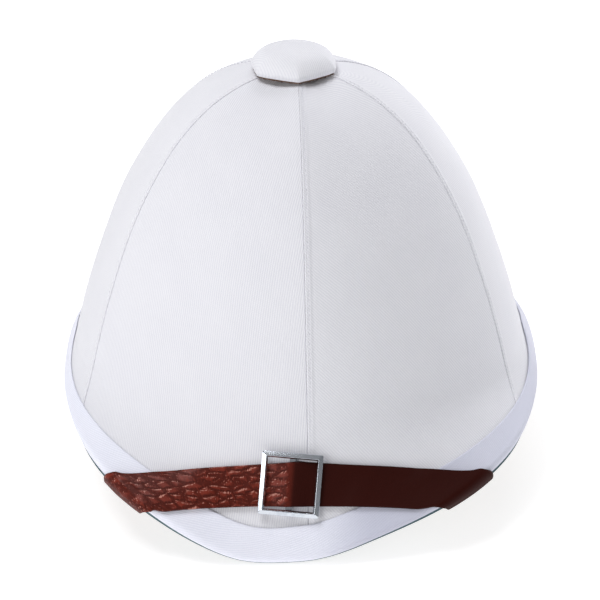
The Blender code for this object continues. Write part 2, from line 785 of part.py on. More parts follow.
def build_buckle():
    """Square slide of four bevelled bars with a sunk middle bar, all one solid."""
    half_length = BUCKLE_LENGTH / 2
    half_height = STRAP_WIDTH / 2 + BUCKLE_ROOM + BUCKLE_RIM
    low = STRAP_THICKNESS + BUCKLE_SEAT
    profile = (
        {"inset": 0.00, "height": 0.00},
        {"inset": 0.00, "height": 0.45},
        {"inset": 0.42, "height": 1.00},
        {"inset": 0.54, "height": 1.00},
        {"inset": 1.00, "height": 0.35},
        {"inset": 1.00, "height": 0.00},
    )
    sections = []
    for i, (side, rise) in enumerate(((1, 1), (-1, 1), (-1, -1), (1, -1))):
        for bend in (0, 45, 90):
            way = math.radians(90 * i + bend)
            section = []
            for row in profile:
                inset = row["inset"] * BUCKLE_RIM
                corner = max(BUCKLE_CORNER - inset, 0.0002)
                along = side * (half_length - inset - corner) + corner * math.cos(way)
                up = rise * (half_height - inset - corner) + corner * math.sin(way)
                section.append(buckle_point(along, up, low + row["height"] * BUCKLE_THICKNESS))
            sections.append(section)
    points, faces = loft(sections, range(len(profile)), True)
    frame_object = add_object("buckle", points, faces, (0.75, 0.76, 0.78), 1.0, 0.25)
    inner = half_height - BUCKLE_RIM
    foot, top = BUCKLE_REST, BUCKLE_REST + BUCKLE_BAR
    post_in, post_out = inner + 0.15 * BUCKLE_RIM, inner + 0.80 * BUCKLE_RIM
    reach = low + 0.30 * BUCKLE_THICKNESS
    outline = (
        (-post_out, foot), (post_out, foot), (post_out, reach), (post_in, reach),
        (post_in, top), (-post_in, top), (-post_in, reach), (-post_out, reach),
    )
    bar_points = [buckle_point(way * BUCKLE_BAR_WIDTH / 2, up, h) for way in (-1, 1) for up, h in outline]
    count = len(outline)
    bar_faces = [(i, (i + 1) % count, count + (i + 1) % count, count + i) for i in range(count)]
    bar_faces.append(tuple(reversed(range(count))))
    bar_faces.append(tuple(range(count, 2 * count)))
    bar = add_object("buckle_bar", bar_points, bar_faces, (0.75, 0.76, 0.78), 1.0, 0.25)
    combine(frame_object, bar, "UNION")
    return frame_object


def outward(made):
    """Turns a mesh's faces outwards."""
    work = bmesh.new()
    work.from_mesh(made.data)
    bmesh.ops.recalc_face_normals(work, faces=work.faces)
    work.to_mesh(made.data)
    work.free()


def combine(made, tool, how):
    """Joins a helper to an object or cuts it out, and removes the helper."""
    outward(made)
    outward(tool)
    change = made.modifiers.new(how, "BOOLEAN")
    change.operation = how
    change.solver = "EXACT"
    change.object = tool
    bpy.context.view_layer.update()
    graph = bpy.context.evaluated_depsgraph_get()
    result = bpy.data.meshes.new_from_object(made.evaluated_get(graph))
    made.modifiers.clear()
    old = made.data
    made.data = result
    bpy.data.meshes.remove(old)
    bpy.data.objects.remove(tool, do_unlink=True)


def pin(name, foot, axis, lengths, colour):
    """Round pin along an axis from rows of radius and distance."""
    side = np.cross(axis, (0.0, 0.0, 1.0))
    side = side / np.linalg.norm(side)
    other = np.cross(axis, side)
    count = 12
    points, faces = [], []
    for radius, distance in lengths:
        for i in range(count):
            turn = 2 * math.pi * i / count
            points.append(foot + axis * distance + radius * (side * math.cos(turn) + other * math.sin(turn)))
    for j in range(len(lengths) - 1):
        for i in range(count):
            k = (i + 1) % count
            faces.append((j * count + i, j * count + k, (j + 1) * count + k, (j + 1) * count + i))
    faces.append(tuple(reversed(range(count))))
    last = (len(lengths) - 1) * count
    faces.append(tuple(range(last, last + count)))
    return add_object(name, points, faces, colour, 1.0, 0.35)


def build_stud(name, side, strap, shell):
    """Stud through the strap's hidden end into the shell, with the holes it needs."""
    places, outs = hidden_rung(HIDDEN_RUN[STUD_ROW], side)
    foot, axis = places[1], -outs[1] / np.linalg.norm(outs[1])
    back = -(STRAP_THICKNESS + 2 * GAP)
    bite = GAP + HIDDEN_SEAT + STUD_BITE
    hole = STUD_RADIUS + GAP
    for target in (strap, shell):
        cutter = pin("cutter", foot, axis, ((hole, back - STUD_HEAD), (hole, bite + GAP)), (0.5, 0.5, 0.5))
        combine(target, cutter, "DIFFERENCE")
    rows = (
        (0.80 * STUD_HEAD_RADIUS, back - STUD_HEAD),
        (STUD_HEAD_RADIUS, back - 0.55 * STUD_HEAD),
        (STUD_HEAD_RADIUS, back),
        (STUD_RADIUS, back),
        (STUD_RADIUS, bite),
    )
    return pin(name, foot, axis, rows, (0.55, 0.50, 0.38))


def main():
    """Builds every piece and stands the helmet on the floor."""
    for old in list(bpy.data.objects):
        bpy.data.objects.remove(old, do_unlink=True)
    lining, floor = build_lining()
    shell = build_shell()
    strap = build_strap()
    made = [lining, shell, strap, build_binding(), build_button(), build_collar(), build_buckle()]
    panels = (
        ("panel_front_right", "front", "right"),
        ("panel_side_right", "right", "right_rear"),
        ("panel_back_right", "right_rear", "rear"),
        ("panel_back_left", "rear", "left_rear"),
        ("panel_side_left", "left_rear", "left"),
        ("panel_front_left", "left", "front"),
    )
    made += [build_panel(name, first, last) for name, first, last in panels]
    made.append(build_stud("strap_stud_right", 1, strap, shell))
    made.append(build_stud("strap_stud_left", -1, strap, shell))
    for piece in made:
        outward(piece)
        for vertex in piece.data.vertices:
            vertex.co.z -= floor


main()
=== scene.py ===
"""White six panel pith helmet: sewn twill panels, bound rim, leather strap and polished slide."""
import logging
import math
from dataclasses import dataclass, field
from enum import Enum
from typing import Any, Sequence, Union

import bmesh
import bpy
import numpy as np
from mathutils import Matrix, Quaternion, Vector, noise


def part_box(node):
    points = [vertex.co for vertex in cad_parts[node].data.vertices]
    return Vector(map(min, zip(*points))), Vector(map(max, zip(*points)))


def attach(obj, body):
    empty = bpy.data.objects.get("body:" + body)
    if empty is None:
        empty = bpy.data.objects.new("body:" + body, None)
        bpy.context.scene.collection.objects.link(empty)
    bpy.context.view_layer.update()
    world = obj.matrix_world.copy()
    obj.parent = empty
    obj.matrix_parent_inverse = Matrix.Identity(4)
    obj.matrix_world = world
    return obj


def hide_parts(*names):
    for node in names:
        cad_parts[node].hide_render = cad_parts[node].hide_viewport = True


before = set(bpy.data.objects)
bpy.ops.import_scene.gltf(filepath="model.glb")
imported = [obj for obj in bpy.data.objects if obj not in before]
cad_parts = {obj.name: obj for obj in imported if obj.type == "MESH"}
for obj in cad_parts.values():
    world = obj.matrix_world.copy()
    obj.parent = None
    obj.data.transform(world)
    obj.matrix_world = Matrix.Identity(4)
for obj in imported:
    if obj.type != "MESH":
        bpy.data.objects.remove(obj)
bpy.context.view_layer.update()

LOG = logging.getLogger("helmet")
BRIM_END = 0.3
Number = Union[float, "Signal"]
Colour = tuple[float, float, float]


# Shader maths

class Signal:
    """A value, colour or vector on its way through a material's nodes."""

    def __init__(self, graph: "Graph", socket: bpy.types.NodeSocket) -> None:
        """Keeps the socket and the graph that it belongs to.

        Args:
            graph: The material's graph.
            socket: The output that carries the value.
        """
        self.graph = graph
        self.socket = socket

    def __add__(self, other: Number) -> "Signal":
        """Sum."""
        return self.graph.math("ADD", self, other)

    def __radd__(self, other: float) -> "Signal":
        """Sum with the number first."""
        return self.graph.math("ADD", other, self)

    def __sub__(self, other: Number) -> "Signal":
        """Difference."""
        return self.graph.math("SUBTRACT", self, other)

    def __rsub__(self, other: float) -> "Signal":
        """Difference with the number first."""
        return self.graph.math("SUBTRACT", other, self)

    def __mul__(self, other: Number) -> "Signal":
        """Product."""
        return self.graph.math("MULTIPLY", self, other)

    def __rmul__(self, other: float) -> "Signal":
        """Product with the number first."""
        return self.graph.math("MULTIPLY", other, self)


class Graph:
    """The nodes of one material, built by expressions."""

    def __init__(self, name: str) -> None:
        """Starts a material with a Principled shader.

        Args:
            name: Name of the material.
        """
        self.material = bpy.data.materials.new(name)
        self.material.use_nodes = True
        self.tree = self.material.node_tree
        self.shader = self.tree.nodes["Principled BSDF"]

    def node(
        self,
        kind: str,
        settings: dict[str, Any],
        inputs: dict[Union[str, int], Any],
        output: Union[str, int] = 0,
    ) -> Signal:
        """Adds one node, sets its settings first and then its inputs.

        Args:
            kind: Blender's name of the node type.
            settings: Properties of the node.
            inputs: Values or signals by socket name or number.
            output: Name or number of the output wanted.

        Returns:
            The wanted output.
        """
        made = self.tree.nodes.new(kind)
        for name, value in settings.items():
            setattr(made, name, value)
        for name, value in inputs.items():
            self.feed(made.inputs[name], value)
        return Signal(self, made.outputs[output])

    def feed(self, socket: bpy.types.NodeSocket, value: Any) -> None:
        """Links a signal to a socket, or sets a plain value on it.

        Args:
            socket: The input.
            value: A signal, number, colour or vector.
        """
        if isinstance(value, Signal):
            self.tree.links.new(value.socket, socket)
        elif isinstance(value, (tuple, list)) and len(value) == 3 and socket.type == "RGBA":
            socket.default_value = (*value, 1.0)
        else:
            socket.default_value = value

    def math(self, operation: str, *values: Number) -> Signal:
        """Adds a Math node.

        Args:
            operation: Its operation.
            values: Its inputs in order.

        Returns:
            The result.
        """
        return self.node("ShaderNodeMath", {"operation": operation}, dict(enumerate(values)))

    def sine(self, value: Number) -> Signal:
        """Sine of a value."""
        return self.math("SINE", value)

    def step(self, low: float, high: float, value: Signal) -> Signal:
        """Smooth step of a value from 0 at the low mark to 1 at the high mark.

        Args:
            low: Mark for 0.
            high: Mark for 1.
            value: The value.

        Returns:
            The step.
        """
        inputs = {"Value": value, "From Min": low, "From Max": high}
        return self.node("ShaderNodeMapRange", {"interpolation_type": "SMOOTHSTEP"}, inputs)

    def mix(self, share: Number, low: Any, high: Any) -> Signal:
        """Blend of two colours.

        Args:
            share: 0 gives the first, 1 the second.
            low: First colour.
            high: Second colour.

        Returns:
            The blend.
        """
        return self.node("ShaderNodeMix", {"data_type": "RGBA"}, {0: share, 6: low, 7: high}, 2)

    def place(self, source: "Place") -> Signal:
        """Coordinates in metres on the cloth or in the room."""
        if source is Place.CLOTH:
            return self.node("ShaderNodeUVMap", {"uv_map": "cloth"}, {})
        return self.node("ShaderNodeTexCoord", {}, {}, "Object")

    def axes(self, vector: Signal) -> tuple[Signal, Signal]:
        """First two numbers of a vector."""
        return (
            self.node("ShaderNodeSeparateXYZ", {}, {0: vector}, 0),
            self.node("ShaderNodeSeparateXYZ", {}, {0: vector}, 1),
        )

    def noise(self, where: Signal, scale: float, detail: float = 2.0, rough: float = 0.5) -> Signal:
        """Soft noise from 0 to 1.

        Args:
            where: Coordinates.
            scale: Bumps per metre.
            detail: Octaves.
            rough: Weight of the finer octaves.

        Returns:
            The noise.
        """
        inputs = {"Vector": where, "Scale": scale, "Detail": detail, "Roughness": rough}
        return self.node("ShaderNodeTexNoise", {}, inputs)

    def cells(self, where: Signal, scale: float, feature: str, jitter: float = 1.0) -> Signal:
        """Cell pattern.

        Args:
            where: Coordinates.
            scale: Cells per metre.
            feature: "F1" for the distance to the middle, "DISTANCE_TO_EDGE" for the cracks.
            jitter: Irregularity.

        Returns:
            The distance.
        """
        inputs = {"Vector": where, "Scale": scale, "Randomness": jitter}
        return self.node("ShaderNodeTexVoronoi", {"feature": feature}, inputs)

    def stretch(self, where: Signal, scale: Sequence[float]) -> Signal:
        """Coordinates multiplied axis by axis."""
        settings = {"operation": "MULTIPLY"}
        return self.node("ShaderNodeVectorMath", settings, {0: where, 1: tuple(scale)})

    def shift(self, where: Signal, way: Sequence[float]) -> Signal:
        """Coordinates moved by a constant."""
        return self.node("ShaderNodeVectorMath", {"operation": "ADD"}, {0: where, 1: tuple(way)})

    def warp(self, where: Signal, scale: float, amount: float) -> Signal:
        """Coordinates shifted by a noise.

        Args:
            where: Coordinates.
            scale: Bumps per metre of the noise.
            amount: Largest shift.

        Returns:
            The shifted coordinates.
        """
        swirl = self.node("ShaderNodeTexNoise", {}, {"Vector": where, "Scale": scale}, 1)
        small = self.stretch(self.shift(swirl, (-0.5, -0.5, -0.5)), (amount, amount, amount))
        return self.node("ShaderNodeVectorMath", {"operation": "ADD"}, {0: where, 1: small})

    def bump(self, height: Signal, depth: float, normal: Union[Signal, None] = None) -> Signal:
        """Normal of a height.

        Args:
            height: Height in shares of the depth.
            depth: Depth in metres.
            normal: Normal that it is laid over.

        Returns:
            The new normal.
        """
        inputs: dict[Union[str, int], Any] = {"Height": height, "Distance": depth, "Strength": 1.0}
        if normal is not None:
            inputs["Normal"] = normal
        return self.node("ShaderNodeBump", {}, inputs)

    def set(self, **values: Any) -> None:
        """Feeds the shader's sockets; underscores in the names stand for spaces."""
        for name, value in values.items():
            self.feed(self.shader.inputs[name.replace("_", " ")], value)


class Place(Enum):
    """Where a material takes its coordinates from."""

    CLOTH = "cloth"
    ROOM = "room"


# Finishes

@dataclass(frozen=True)
class TwillFinish:
    """White cotton twill: slanting ribs, faint crossing threads, tiny specks and painted shade that greys
    it toward the right.
    """

    name: str
    light: Colour = (0.80, 0.80, 0.835)
    shade: Colour = (0.66, 0.66, 0.72)
    lean: float = 90.0
    pitch: float = 0.00125
    rib: float = 0.00010
    contrast: float = 0.36
    cross: float = 0.35
    specks: float = 1.0
    # Share and colour of the painted shade that greys the cloth from the middle toward the right.
    painted_shade: float = 0.0
    painted_shade_colour: Colour = (0.40, 0.41, 0.52)

    def material(self) -> bpy.types.Material:
        """Builds the material.

        Returns:
            The material.
        """
        graph = Graph(self.name)
        where = graph.place(Place.CLOTH)
        loose = graph.warp(where, 55.0, 0.0012)
        across, along = graph.axes(loose)
        turn = math.radians(self.lean)
        wave = 2 * math.pi / self.pitch
        rib = graph.sine((across * math.sin(turn) + along * math.cos(turn)) * wave) * 0.5 + 0.5
        weft = graph.sine((across * math.cos(turn) - along * math.sin(turn)) * (wave * 1.31)) * 0.5 + 0.5
        grain = graph.noise(where, 1500.0, 2.0)
        patch = graph.noise(where, 26.0, 3.0, 0.6)
        weave = rib * (1 - self.cross) + weft * rib * self.cross
        tone = weave * self.contrast + grain * 0.35 + patch * 0.30 + (0.35 - self.contrast / 2)
        colour = graph.mix(graph.step(0.15, 0.85, tone), self.shade, self.light)
        # Painted shade: greyer from the middle toward the right, a little less far out.
        sideways, _ = graph.axes(graph.place(Place.ROOM))
        shaded_right = graph.step(0.0, 0.040, sideways) * (1 - graph.step(0.055, 0.100, sideways) * 0.35)
        colour = graph.mix(shaded_right * self.painted_shade, colour, self.painted_shade_colour)
        fleck = 1 - graph.step(0.035, 0.060, graph.cells(where, 42.0, "F1"))
        rare = graph.step(0.66, 0.70, graph.noise(where, 19.0, 0.0))
        colour = graph.mix(fleck * rare * (0.35 * self.specks), colour, (0.45, 0.38, 0.30))
        height = weave * 0.75 + grain * 0.25
        soft = graph.bump(patch, 0.0004)
        graph.set(
            Base_Color=colour,
            Roughness=0.86 + grain * 0.08,
            Normal=graph.bump(height, self.rib, soft),
            Sheen_Weight=0.25,
            Sheen_Roughness=0.45,
            Specular_IOR_Level=0.25,
        )
        return graph.material


@dataclass(frozen=True)
class LeatherFinish:
    """Brown strap leather with a pebbled grain and a waxed shine; painted glints on the pebbles' upper
    sides, painted shade on their lower sides and in the creases, and painted shade over the strap's right
    part.
    """

    name: str = "strap_leather"
    base: Colour = (0.190, 0.0265, 0.0150)
    # Colour mixed in for the painted shade in the grain's valleys and on the pebbles' lower sides, and for
    # darker tone at random.
    dark: Colour = (0.020, 0.0035, 0.0025)
    # Colour of the painted glints on the pebbles' upper sides.
    painted_glint: Colour = (0.60, 0.27, 0.21)
    # Colour of the painted shade over the strap past the slide's middle.
    right_half_shade: Colour = (0.0155, 0.0022, 0.0014)
    pebble: float = 235.0
    middle: float = -0.006
    upward: tuple[float, float, float] = (-0.00012, 0.00036, 0.0)
    grain: float = 0.0012

    def height(self, graph: Graph, where: Signal, coarse: Signal, wrinkle: Signal) -> Signal:
        """Height of the grain.

        Args:
            graph: Nodes of the material.
            where: Coordinates along and across the strap.
            coarse: Share of the large pebbles.
            wrinkle: Share of the small wrinkles.

        Returns:
            The height from 0 to about 1.
        """
        bent = graph.warp(graph.stretch(where, (0.50, 1.0, 1.0)), 190.0, 0.0030)
        edge = graph.step(0.0, 0.42, graph.cells(bent, self.pebble, "DISTANCE_TO_EDGE", 0.9))
        upright = graph.warp(graph.stretch(where, (1.0, 0.55, 1.0)), 380.0, 0.0020)
        minor = graph.step(0.0, 0.45, graph.cells(upright, 760.0, "DISTANCE_TO_EDGE", 1.0))
        rough = graph.noise(graph.stretch(where, (0.7, 1.0, 1.0)), 620.0, 4.0, 0.7)
        low = minor * 0.55 + rough * 0.45
        return edge * coarse * 0.62 + low * (wrinkle * (0.46 - coarse * 0.16) + 0.05)

    def material(self) -> bpy.types.Material:
        """Builds the material.

        Returns:
            The material.
        """
        graph = Graph(self.name)
        where = graph.place(Place.CLOTH)
        along, _ = graph.axes(where)
        hide = graph.noise(where, 70.0, 3.0, 0.6)
        # Patchy noise that decides where the painted glints lie.
        painted_glint = graph.noise(graph.stretch(where, (0.5, 1.0, 1.0)), 460.0, 3.0, 0.65)
        end = 1 - graph.step(self.middle, self.middle + 0.004, along)
        coarse = graph.step(-0.108, -0.070, along + (hide - 0.5) * 0.03) * end
        wrinkle = graph.step(-0.118, -0.100, along) * end
        # Share before the slide's middle; past it the strap gets painted shade, more roughness and no coat.
        bright = 1 - graph.step(self.middle, self.middle + 0.005, along)
        here = self.height(graph, where, coarse, wrinkle)
        above = self.height(graph, graph.shift(where, self.upward), coarse, wrinkle)
        # Painted highlight and shade from the grain's slope: lit marks the sides that face up, dim those
        # that face down.
        lit = graph.step(0.07, 0.22, here - above)
        dim = graph.step(0.02, 0.20, above - here)
        # Painted shade in the grain's valleys, where the height is low.
        low = graph.step(0.06, 0.50, here) * wrinkle + (1 - wrinkle)
        # Painted shade: the strap past the slide's middle is mixed toward the near black colour.
        skin = graph.mix(bright * 0.92 + 0.08, self.right_half_shade, self.base)
        # Dark mixed in by painted shade in the valleys and on the lower sides, and by the hide's random
        # tone.
        colour = graph.mix((0.34 + low * 0.66) * (1 - dim * 0.45) * (0.72 + hide * 0.4), self.dark, skin)
        # Painted highlight: glints on the sides that face up, in patches.
        glint = lit * graph.step(0.32, 0.54, painted_glint) * wrinkle
        colour = graph.mix(glint * 0.9, colour, self.painted_glint)
        graph.set(
            Base_Color=colour,
            Roughness=0.50 + (1 - bright) * 0.08,
            Normal=graph.bump(here, self.grain),
            Specular_IOR_Level=0.06,
            Coat_Weight=bright * (0.02 + wrinkle * 0.13) * (0.2 + low * 0.8),
            Coat_Roughness=0.26,
        )
        return graph.material


@dataclass(frozen=True)
class SteelFinish:
    """Polished plated metal with fine drawn lines and small marks."""

    name: str
    tint: Colour = (0.80, 0.81, 0.84)
    dull: Colour = (0.52, 0.54, 0.58)
    gloss: float = 0.16
    scratch: float = 0.000004

    def material(self) -> bpy.types.Material:
        """Builds the material.

        Returns:
            The material.
        """
        graph = Graph(self.name)
        where = graph.place(Place.ROOM)
        cloud = graph.noise(where, 160.0, 3.0, 0.6)
        lines = graph.noise(graph.stretch(where, (1.0, 1.0, 9.0)), 520.0, 2.0, 0.6)
        colour = graph.mix(graph.step(0.45, 0.85, cloud), self.tint, self.dull)
        graph.set(
            Base_Color=colour,
            Metallic=1.0,
            Roughness=self.gloss + cloud * 0.10,
            Normal=graph.bump(lines, self.scratch),
        )
        return graph.material


@dataclass(frozen=True)
class PlainFinish:
    """A quiet matte material with a soft mottle and a fine tooth, for parts that hardly show."""

    name: str
    light: Colour
    dark: Colour
    scale: float = 300.0
    tooth: float = 0.0001
    rough: float = 0.85

    def material(self) -> bpy.types.Material:
        """Builds the material.

        Returns:
            The material.
        """
        graph = Graph(self.name)
        where = graph.place(Place.ROOM)
        spots = graph.noise(where, self.scale, 4.0, 0.65)
        pores = graph.cells(where, self.scale * 2.2, "F1")
        colour = graph.mix(graph.step(0.3, 0.7, spots * 0.7 + pores * 0.35), self.dark, self.light)
        graph.set(
            Base_Color=colour,
            Roughness=self.rough,
            Normal=graph.bump(spots * 0.5 + pores * 0.5, self.tooth),
        )
        return graph.material


# Surface that every piece is laid on

@dataclass(frozen=True)
class HelmetForm:
    """The outer cloth surface, with the sizes of the solids and a softer rim and flatter front panels."""

    rim_half_width: float = 0.1300
    rim_left_trim: float = 0.0015
    peak_reach: float = 0.151
    rear_reach: float = 0.177
    crown_half_width: float = 0.1250
    crown_front_reach: float = 0.1235
    crown_rear_reach: float = 0.137
    crown_base_height: float = 0.056
    crown_top_height: float = 0.2065
    side_rise: float = 0.0444
    rim_drop: float = 0.0034
    crown_setback: float = 0.004
    peak_lean: float = 0.006
    peak_turn: float = 2.0
    peak_sharpness: float = 0.74
    rear_sharpness: float = 0.92
    rise_sharpness: float = 0.60
    rise_softness: float = 0.125
    peak_level: float = 0.070
    rear_level: float = 0.171
    flare_start: float = 0.52
    panel_flatness: float = 0.0022
    front_pillow: float = 0.0022
    tip_round: float = 0.0010
    tip_angle: float = -2.0
    tip_spread: float = 9.0
    left_bulge: float = 0.0006
    bulge_angle: float = -17.0
    bulge_spread: float = 8.0
    blur_step: float = 3.0
    blur_weights: tuple[int, ...] = (1, 2, 3, 2, 1)
    lift: float = 0.00565
    seams: tuple[float, ...] = (1.8, 62.5, 121.0, 180.0, 239.0, 297.0)
    heights: tuple[float, ...] = (0.0, 0.158, 0.337, 0.515, 0.673, 0.812, 0.911, 0.966, 1.0)
    widths: tuple[float, ...] = (1.0, 0.948, 0.876, 0.789, 0.682, 0.552, 0.405, 0.262, 0.0)

    def crown_width(self, height: np.ndarray) -> np.ndarray:
        """Width share of the crown at shares of its height.

        Args:
            height: Shares of the crown's height.

        Returns:
            Shares of the crown's width.
        """
        xs, ys = np.array(self.heights), np.array(self.widths) ** 2
        step = np.diff(xs)
        rise = np.diff(ys) / step
        slopes = np.zeros(len(xs))
        slopes[0], slopes[-1] = rise[0], rise[-1]
        near, far = 2 * step[1:] + step[:-1], step[1:] + 2 * step[:-1]
        slopes[1:-1] = (near + far) / (near / rise[:-1] + far / rise[1:])
        h = np.clip(height, 0.0, 1.0)
        i = np.clip(np.searchsorted(xs, h, side="right") - 1, 0, len(xs) - 2)
        q = (h - xs[i]) / step[i]
        area = (1 + 2 * q) * (1 - q) ** 2 * ys[i] + q * (1 - q) ** 2 * step[i] * slopes[i]
        area += q * q * (3 - 2 * q) * ys[i + 1] + q * q * (q - 1) * step[i] * slopes[i + 1]
        return np.sqrt(np.maximum(area, 0.0))

    def seam_share(self, angle: np.ndarray) -> np.ndarray:
        """Share of the way from one seam to the next.

        Args:
            angle: Angles round the crown in degrees.

        Returns:
            Shares from 0 to 1.
        """
        marks = np.array(self.seams + (self.seams[0] + 360,))
        turn = (angle - marks[0]) % 360 + marks[0]
        i = np.clip(np.searchsorted(marks, turn, side="right") - 1, 0, 5)
        return (turn - marks[i]) / (marks[i + 1] - marks[i])

    def rim(self, angle: np.ndarray) -> tuple[np.ndarray, np.ndarray, np.ndarray]:
        """Rim of the helmet.

        Args:
            angle: Angles in degrees.

        Returns:
            The x, y and z of the rim.
        """
        turn = np.radians(angle)
        side, ahead = np.sin(turn), np.cos(turn)
        way = np.radians(angle + self.peak_turn * np.maximum(ahead, 0.0) ** 12)
        front = ahead >= 0
        sharp = np.where(front, self.peak_sharpness, self.rear_sharpness)
        width = np.where(side >= 0, self.rim_half_width, self.rim_half_width - self.rim_left_trim)
        x = width * np.sign(side) * np.abs(side) ** sharp
        x = x - np.where(front, self.peak_lean * np.maximum(ahead, 0.0) ** 4, 0.0)
        reach = np.where(front, self.peak_reach, self.rear_reach)
        y = -reach * np.sign(ahead) * np.abs(np.cos(way)) ** sharp
        signed = (np.asarray(angle, float) + 180) % 360 - 180
        left = self.left_bulge * np.exp(-(((signed - self.bulge_angle) / self.bulge_spread) ** 2))
        tip = self.tip_round * np.exp(-(((signed - self.tip_angle) / self.tip_spread) ** 2))
        taps = [self.rim_rise(angle + self.blur_step * (k - 2)) for k in range(len(self.blur_weights))]
        rise = sum(w * tap for w, tap in zip(self.blur_weights, taps)) / sum(self.blur_weights)
        return x - 0.5 * left, y - tip - 0.6 * left, rise - 0.75 * left

    def rim_rise(self, angle: np.ndarray) -> np.ndarray:
        """Height of the rim at angles, before it is smoothed."""
        way = np.radians(angle + self.peak_turn * np.maximum(np.cos(np.radians(angle)), 0.0) ** 12)
        level = np.where(np.cos(np.radians(angle)) >= 0, self.peak_level, self.rear_level)
        rise = np.maximum(0.0, (np.abs(np.sin(way)) - level) / (1 - level))
        soft = ((1 + self.rise_softness) * rise / (rise + self.rise_softness)) ** 0.8
        return self.side_rise * soft * rise ** self.rise_sharpness - self.rim_drop

    def outer(self, angle: np.ndarray, station: np.ndarray) -> np.ndarray:
        """Points of the surface: station 0 is the rim, BRIM_END the crown's base and 1 its top.

        Args:
            angle: Angles in degrees.
            station: Stations.

        Returns:
            Points, the last axis being x, y and z.
        """
        angle, station = np.broadcast_arrays(np.asarray(angle, float), np.asarray(station, float))
        turn = np.radians(angle)
        side, ahead = np.sin(turn), np.cos(turn)
        reach = np.where(ahead >= 0, self.crown_front_reach, self.crown_rear_reach)
        bx, by = self.crown_half_width * side, -reach * ahead
        tall = self.crown_top_height - self.crown_base_height
        share = np.sin((np.clip(station, BRIM_END, 1.0) - BRIM_END) / (1 - BRIM_END) * math.pi / 2)
        width = self.crown_width(share)
        crown = np.stack([
            bx * width,
            by * width + self.crown_setback * share,
            self.crown_base_height + tall * share,
        ], -1)
        rx, ry, rz = self.rim(angle)
        drop = self.crown_base_height - rz
        slope = float(1 - self.crown_width(np.array(0.001))) / 0.001
        grow = 1 + slope * self.flare_start * drop / tall
        q = np.clip(1 - station / BRIM_END, 0.0, 1.0)
        a, b, c = (1 - q) ** 2, 2 * q * (1 - q), q * q
        brim = np.stack([
            a * bx + b * bx * grow + c * rx,
            a * by + b * by * grow + c * ry,
            a * self.crown_base_height + b * (self.crown_base_height - self.flare_start * drop) + c * rz,
        ], -1)
        fade = np.where(station >= BRIM_END, 1.0, 0.5 + 0.5 * np.cos(math.pi * q))
        flat = self.panel_flatness / self.crown_half_width * np.sin(math.pi * self.seam_share(angle)) * fade
        point = np.where((station >= BRIM_END)[..., None], crown, brim)
        scale = np.stack([1 - flat, 1 - flat, np.ones_like(flat)], -1)
        return point * scale + np.array([0.0, 0.0, self.lift])

    def pillow(self, angle: np.ndarray, station: np.ndarray) -> np.ndarray:
        """Depth by which the two front panels lie flatter than the solids between their seams.

        Args:
            angle: Angles in degrees.
            station: Stations.

        Returns:
            Depths below the surface.
        """
        turn = (np.asarray(angle, float) + 180 - self.seams[0]) % 360 - 180
        front = (turn > self.seams[5] - 360 - self.seams[0]) & (turn < self.seams[1] - self.seams[0])
        shape = np.abs(np.sin(math.pi * self.seam_share(np.asarray(angle, float))))
        return np.where(front, self.front_pillow * shape, 0.0) * smooth(0.25, 0.5, station)

    def frame(self, angle: np.ndarray, station: np.ndarray) -> tuple[np.ndarray, np.ndarray, np.ndarray]:
        """Points, outward normals and directions out past the rim.

        Args:
            angle: Angles in degrees.
            station: Stations.

        Returns:
            The points, normals and directions.
        """
        angle, station = np.broadcast_arrays(np.asarray(angle, float), np.asarray(station, float))
        point = self.outer(angle, station)
        round_way = self.outer(angle + 0.4, station) - self.outer(angle - 0.4, station)
        up = self.outer(angle, np.minimum(station + 0.004, 1.0))
        up = up - self.outer(angle, np.maximum(station - 0.004, 0.0))
        up = up / np.linalg.norm(up, axis=-1, keepdims=True)
        normal = np.cross(round_way, up)
        normal = normal / np.maximum(np.linalg.norm(normal, axis=-1, keepdims=True), 1e-12)
        return point, normal, -up

    def place(self, angle: Any, station: Any, reach: Any, offset: Any) -> np.ndarray:
        """Points lifted off the surface by an offset and past the rim by a reach.

        Args:
            angle: Angles in degrees.
            station: Stations.
            reach: Lengths past the rim.
            offset: Heights over the surface.

        Returns:
            The points.
        """
        point, normal, out = self.frame(angle, station)
        shape = point.shape[:-1]
        reach = np.broadcast_to(np.asarray(reach, float), shape)[..., None]
        offset = np.broadcast_to(np.asarray(offset, float), shape)[..., None]
        return point + normal * offset + out * reach

    def station_across(self, angle: float, width: float) -> float:
        """Station whose distance from the rim over the surface is a width.

        Args:
            angle: Angle in degrees.
            width: Distance in metres.

        Returns:
            The station.
        """
        stations = np.linspace(0.0, 0.5, 251)
        points = self.outer(np.full(251, angle), stations)
        walked = np.concatenate([[0.0], np.cumsum(np.linalg.norm(np.diff(points, axis=0), axis=1))])
        return float(np.interp(width, walked, stations))

    def top_station(self, radius: float) -> float:
        """Station at which the crown's ring has closed to a radius."""
        stations = np.linspace(BRIM_END, 1.0, 700)
        share = np.sin((stations - BRIM_END) / (1 - BRIM_END) * math.pi / 2)
        widths = self.crown_half_width * self.crown_width(share)
        return float(np.interp(-radius, -widths, stations))


# Mesh tools

